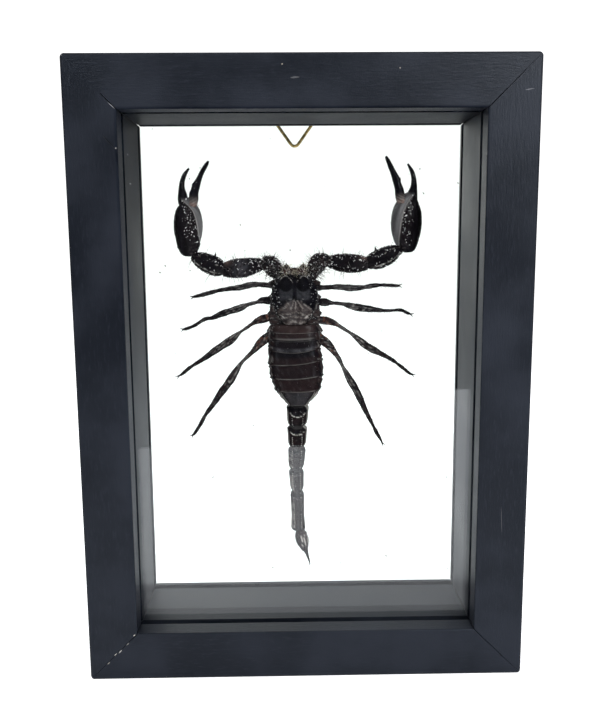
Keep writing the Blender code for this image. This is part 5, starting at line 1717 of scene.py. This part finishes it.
@dataclass
class BoxFrame:
    """The painted rails with their marks."""

    effects: Effects
    marks: dict[str, tuple[Mark, ...]] = field(default_factory=lambda: {
        "rail_top": (
            Mark((-2.6, 0, 213.9), (1.8, 1.2, 0.42), 4, (0.075, 0.075, 0.08), 1.2),
            Mark((-6.8, 0, 218.1), (0.35, 1, 0.3), 0, (0.30, 0.27, 0.22)),
            Mark((32.2, 0, 216.7), (0.3, 1, 0.3), 0, (0.24, 0.22, 0.2)),
            Mark((74.4, 0, 215.6), (1.5, 1, 0.22), 42, (0.11, 0.11, 0.12))),
        "rail_left": (
            Mark((-64.9, 0, 193.4), (0.30, 1, 3.6), 42, (0.0015, 0.0015, 0.003), 1.5),
            Mark((-62.6, 0, 191.4), (0.3, 1, 0.3), 0, (0.30, 0.29, 0.28)),
            Mark((-63.6, 0, 205.2), (0.16, 1, 1.9), 48, (0.24, 0.24, 0.25)),
            Mark((-62.0, 20.0, 181.0), (1.0, 2.2, 0.18), 0, (0.45, 0.45, 0.46)),
            Mark((-62.0, 17.0, 191.0), (1.0, 1.5, 0.35), 0, (0.22, 0.22, 0.24)),
            Mark((-70.35, 0, 10.0), (0.16, 1.2, 0.8), -45, (0.62, 0.60, 0.56)),
            Mark((-63.2, 0, 17.4), (0.22, 1.2, 0.5), -45, (0.62, 0.60, 0.56))),
        "rail_right": (
            Mark((75.6, 0, 209.8), (2.0, 1, 0.25), 8, (0.11, 0.11, 0.12)),
            Mark((70.9, 0, 60.0), (0.2, 1, 6.0), 3, (0.05, 0.05, 0.055))),
        "rail_bottom": (
            Mark((72.4, 0, 7.5), (0.6, 1.2, 0.55), 0, (0.006, 0.006, 0.008), 2.4),
            Mark((-73.0, 0, 6.6), (0.16, 1.2, 0.7), -45, (0.50, 0.47, 0.42)),
            Mark((-68.6, 0, 11.1), (0.2, 1.2, 1.0), -45, (0.60, 0.58, 0.54)),
            Mark((-65.8, 0, 14.0), (0.15, 1.2, 0.8), -45, (0.50, 0.48, 0.45)))})

    shades: dict[str, tuple[tuple[int, float, float], ...]] = field(default_factory=lambda: {
        "rail_top": ((2, 205.2, 204.3),), "rail_left": ((0, -63.2, -62.3), (2, 90.0, 190.0)),
        "rail_right": ((0, 63.2, 62.3), (2, 165.0, 235.0))})
    bridge: tuple[tuple[float, float], tuple[float, float]] = ((-79.0, 221.0), (-67.0, 209.0))
    bridge_width: float = 0.34
    bridge_depth: float = 0.5
    bridge_sink: float = 0.015

    def paint_bridge(self) -> bpy.types.Mesh:
        """The paint that fills the outer part of the upper left mitre."""
        (x0, z0), (x1, z1) = self.bridge
        middle = at((x0 + x1) / 2, self.bridge_sink + self.bridge_depth / 2, (z0 + z1) / 2)
        length = math.hypot(x1 - x0, z1 - z0)
        size = Matrix.Diagonal((length * MM, self.bridge_depth * MM, self.bridge_width * MM, 1))
        turn = Matrix.Rotation(math.atan2(z0 - z1, x1 - x0), 4, "Y")
        return block("paint_bridge", Matrix.Translation(middle) @ turn @ size)

    def build(self, bench: Bench) -> None:
        """Finishes the rails."""
        for name, marks in self.marks.items():
            upright = name in ("rail_left", "rail_right")
            paint = SatinPaint(self.effects, upright, marks, self.shades.get(name, ()))
            bench.finish(name, paint.material(name + "_paint"))
        paint = SatinPaint(self.effects, upright=True).material("bridge_paint")
        bench.piece("paint_bridge", self.paint_bridge(), paint)


@dataclass
class Panes:
    """The two panes and the dust on them."""

    effects: Effects
    dust_area: tuple[float, float, float, float] = (-60.5, 60.5, 19.5, 202.5)
    dust_depth: float = 38.62
    dust_density: float = 2300.0

    def build(self, bench: Bench) -> None:
        """Finishes the panes and scatters dust between them."""
        glass = ClearPane(self.effects)
        for name in ("glass_front", "glass_back"):
            bench.finish(name, glass.material(name + "_clear"))
        x0, x1, z0, z1 = self.dust_area
        corners = ((x0, z0), (x1, z0), (x1, z1), (x0, z1))
        ground = sheet("dust_field", [at(x, self.dust_depth, z) for x, z in corners])
        ground.attributes.new("granules", "FLOAT", "POINT").data.foreach_set("value", [1.0] * 4)
        dust = Bristle((0.10, 0.085, 0.07), (0.34, 0.30, 0.26), 0.8).material("dust")
        specks = grown(ground, bench.growths.granules,
                       {"Density": self.dust_density, "Spacing": 0.003, "Radius": 0.00030, "Flatness": 0.2,
                        "Seed": 91, "Keep Surface": False, "Finish": dust})
        bench.piece("dust_specks", specks, dust)


@dataclass
class Hanger:
    """The strap, the swinging ring and a screw with a slotted head. Turns are in degrees."""

    effects: Effects
    centre: tuple[float, float] = (-2.4, 216.8)
    head_radius: float = 2.0
    head_rise: float = 1.1
    head_steps: int = 6
    shank_radius: float = 0.9
    shank_end: float = -8.0
    tip: float = -8.9
    slot_width: float = 0.42
    slot_depth: float = 0.5
    slot_turn: float = 24.0
    sharp_edge: float = 32.0
    sides: int = 36

    def turned(self) -> bpy.types.Mesh:
        """The screw without its slot, standing on end with the head's underside near 0."""
        quarter = [math.radians(90 * i / self.head_steps) for i in range(1, self.head_steps + 1)]
        profile = [(0.0, self.head_rise)]
        profile += [(self.head_radius * math.sin(t), self.head_rise * math.cos(t)) for t in quarter]
        profile += [(self.head_radius, -0.1), (self.shank_radius, -0.1), (self.shank_radius, self.shank_end),
                    (0.0, self.tip)]
        body = bmesh.new()
        spun = [body.verts.new((r * MM, 0, h * MM)) for r, h in profile]
        edges = [body.edges.new(pair) for pair in zip(spun, spun[1:])]
        bmesh.ops.spin(body, geom=spun + edges, angle=math.tau, steps=self.sides, axis=(0, 0, 1),
                       cent=(0, 0, 0), use_merge=True)
        bmesh.ops.remove_doubles(body, verts=body.verts, dist=0.000001)
        bmesh.ops.recalc_face_normals(body, faces=body.faces)
        return mesh_from(body, "screw")

    def screw(self) -> bpy.types.Mesh:
        """The screw with its slot, in the strap."""
        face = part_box("hanger_screw")[1].y - self.head_rise * MM
        size = Matrix.Diagonal((2.4 * self.head_radius * MM, self.slot_width * MM, 2 * self.slot_depth * MM,
                                1))
        lift = Matrix.Translation((0, 0, (self.head_rise + 0.05) * MM))
        cutter = linked("slot_cutter", block("slot_cutter", lift @ size))
        item = linked("screw_draft", self.turned())
        cut = item.modifiers.new("slot", "BOOLEAN")
        cut.object = cutter
        cut.solver = "EXACT"
        done = baked(item)
        bpy.data.objects.remove(cutter, do_unlink=True)
        turn = (Matrix.Rotation(math.radians(-90), 4, "X")
                @ Matrix.Rotation(math.radians(self.slot_turn), 4, "Z"))
        done.transform(Matrix.Translation((self.centre[0] * MM, face, self.centre[1] * MM)) @ turn)
        done.shade_smooth()
        done.set_sharp_from_angle(angle=math.radians(self.sharp_edge))
        return done

    def build(self, bench: Bench) -> None:
        """Finishes the hanger."""
        brass = Brass(self.effects)
        bench.finish("hanger_strap", brass.material("strap_brass"))
        bench.finish("hanger_ring", brass.material("ring_brass"))
        screw = brass.material("screw_brass")
        bench.piece("slotted_screw", self.screw(), screw, ["hanger_screw"])


@dataclass
class PhotoCamera:
    """The photograph's camera: focal length in pixels, place in metres and turns in degrees."""

    focal: float = 800.7
    picture_height: float = 723.0
    place: tuple[float, float, float] = (-0.00591, -0.29809, 0.16203)
    yaw: float = -0.894
    pitch: float = -8.914
    roll: float = -0.404

    def build(self) -> None:
        """Puts the camera in the scene."""
        data = bpy.data.cameras.new("photo_camera")
        data.sensor_fit = "VERTICAL"
        data.sensor_height = 36.0
        data.lens = self.focal / self.picture_height * data.sensor_height
        data.clip_start = 0.01
        camera = linked("photo_camera", data)
        base = Matrix(((1, 0, 0), (0, 0, -1), (0, 1, 0)))
        turn = (Matrix.Rotation(math.radians(self.yaw), 3, "Z") @ base
                @ Matrix.Rotation(math.radians(self.pitch), 3, "X")
                @ Matrix.Rotation(math.radians(self.roll), 3, "Z"))
        camera.matrix_world = Matrix.Translation(self.place) @ turn.to_4x4()
        bpy.context.scene.camera = camera


@dataclass
class Lamp:
    """A soft square light: place in metres, where it points, side length and power."""

    name: str
    place: tuple[float, float, float]
    aim: tuple[float, float, float]
    size: float
    power: float
    colour: Colour = (1.0, 1.0, 1.0)

    def build(self) -> None:
        """Adds the light."""
        data = bpy.data.lights.new(self.name, "AREA")
        data.size = self.size
        data.energy = self.power
        data.color = self.colour
        lamp = linked(self.name, data)
        lamp.location = self.place
        lamp.rotation_euler = (Vector(self.aim) - Vector(self.place)).to_track_quat("-Z", "Y").to_euler()


@dataclass
class Studio:
    """White table top, pale surroundings, lamps, and a dark card that only mirrors see."""

    floor: tuple[float, float, float, float] = (-1.6, 1.6, -0.56, 2.2)
    floor_tints: tuple[Colour, Colour] = ((0.84, 0.86, 0.90), (0.87, 0.89, 0.93))
    floor_shade: Colour = (0.30, 0.31, 0.34)
    floor_glow: Colour = (1.0, 0.985, 0.965)
    card: tuple[float, float, float, float] = (-0.13, 0.075, 0.0, 0.55)
    card_y: float = -0.335
    card_tints: tuple[Colour, Colour] = ((0.01, 0.01, 0.01), (0.02, 0.02, 0.02))
    back_light: float = 1.25
    right_shade: float = 0.6
    front_light: float = 0.03
    seen_light: float = 1.3
    lamps: tuple[Lamp, ...] = (
        Lamp("lamp_left", (-0.42, -0.72, 0.62), (0, 0, 0.13), 0.12, 2.6, (0.93, 0.96, 1.0)),
        Lamp("lamp_right", (0.45, -0.62, 0.50), (0, 0, 0.13), 0.14, 5.5, (0.97, 0.98, 1.0)),
        Lamp("lamp_top", (0.05, 0.12, 1.1), (0, 0.05, 0.0), 0.9, 5.0))

    @staticmethod
    def staged(name: str, corners: Sequence[tuple[float, float, float]],
               material: bpy.types.Material) -> bpy.types.Object:
        """A flat sheet of the studio."""
        item = linked(name, sheet(name, [Vector(corner) for corner in corners]))
        item.data.materials.append(material)
        return item

    def world(self) -> None:
        """Pale surroundings, bright behind the frame and dim in front of it."""
        world = bpy.data.worlds.new("studio_surroundings")
        world.use_nodes = True
        bpy.context.scene.world = world
        graph = Graph(world.node_tree)
        way = graph.node("ShaderNodeTexCoord").outputs["Generated"]
        x, y, z = graph.node("ShaderNodeSeparateXYZ", {0: way}).outputs
        behind = graph.span(y, -0.25, 0.45, self.front_light, self.back_light)
        behind = graph.times(behind, graph.span(x, -0.15, 0.10, 1.22, 1.0))
        shaded = graph.times(graph.span(x, -0.05, 0.15), graph.span(z, -0.12, 0.10))
        behind = graph.times(behind, graph.less(1.0, graph.times(shaded, self.right_shade)))
        glow = graph.math("MAXIMUM", behind, graph.span(z, 0.35, 0.95, 0.0, 0.45))
        seen = graph.node("ShaderNodeLightPath").outputs["Is Camera Ray"]
        strength = graph.switch(seen, glow, self.seen_light)
        graph.feed(world.node_tree.nodes["Background"], {"Color": (1, 1, 1, 1), "Strength": strength})

    def table_top(self) -> None:
        """The white table top, shaded at its far end for all but the camera."""
        material, graph, shader, where = start_material("white_table")
        seen = graph.node("ShaderNodeLightPath").outputs["Is Camera Ray"]
        rearward = graph.node("ShaderNodeSeparateXYZ", {0: where}).outputs[1]
        shaded = graph.times(graph.span(rearward, 0.7, 1.2), graph.less(1.0, seen))
        tint = graph.mix(graph.noise(where, 9.0), *self.floor_tints)
        tint = graph.mix(graph.times(shaded, 0.7), tint, self.floor_shade)
        graph.feed(shader, {"Base Color": tint, "Emission Color": (*self.floor_glow, 1.0), "Roughness": 0.7,
                            "Emission Strength": graph.switch(seen, 0.08, 0.75)})
        x0, x1, front, back = self.floor
        self.staged("table_top", [(x0, front, 0), (x1, front, 0), (x1, back, 0), (x0, back, 0)], material)

    def mirror_card(self) -> None:
        """The dark card in front of the frame."""
        material, graph, shader, where = start_material("black_card")
        graph.feed(shader, {"Base Color": graph.mix(graph.noise(where, 40.0), *self.card_tints)})
        x0, x1, low, high = self.card
        y = self.card_y
        corners = [(x0, y, low), (x1, y, low), (x1, y, high), (x0, y, high)]
        card = self.staged("mirror_card", corners, material)
        for ray in ("camera", "diffuse", "shadow", "transmission", "volume_scatter"):
            setattr(card, "visible_" + ray, False)

    def build(self) -> None:
        """Sets up the studio."""
        self.table_top()
        self.mirror_card()
        self.world()
        for lamp in self.lamps:
            lamp.build()
        bpy.context.scene.view_settings.view_transform = "Standard"


def main() -> None:
    """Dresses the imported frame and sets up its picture."""
    logging.basicConfig(level=logging.INFO, format="%(name)s: %(message)s")
    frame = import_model()
    PhotoCamera().build()
    Studio().build()
    effects = Effects()
    shell = Chitin(effects).material("scorpion_shell")
    hair = Bristle((0.020, 0.016, 0.016), (0.09, 0.07, 0.06)).material("dark_hairs")
    straw = Bristle((0.05, 0.032, 0.022), (1.0, 0.90, 0.68)).material("straw_bristles")
    bench = Bench(frame["nodes"], Growths(), shell, hair, straw)
    for part in (BoxFrame(effects), Panes(effects), Hanger(effects), HeadShield(), Abdomen(), Tail(), Jaws(),
                 *(Pincer(side) for side in Side), *(Leg(name) for name in LEG_TABLES), GluePad(effects)):
        part.build(bench)


if __name__ == "__main__":
    main()
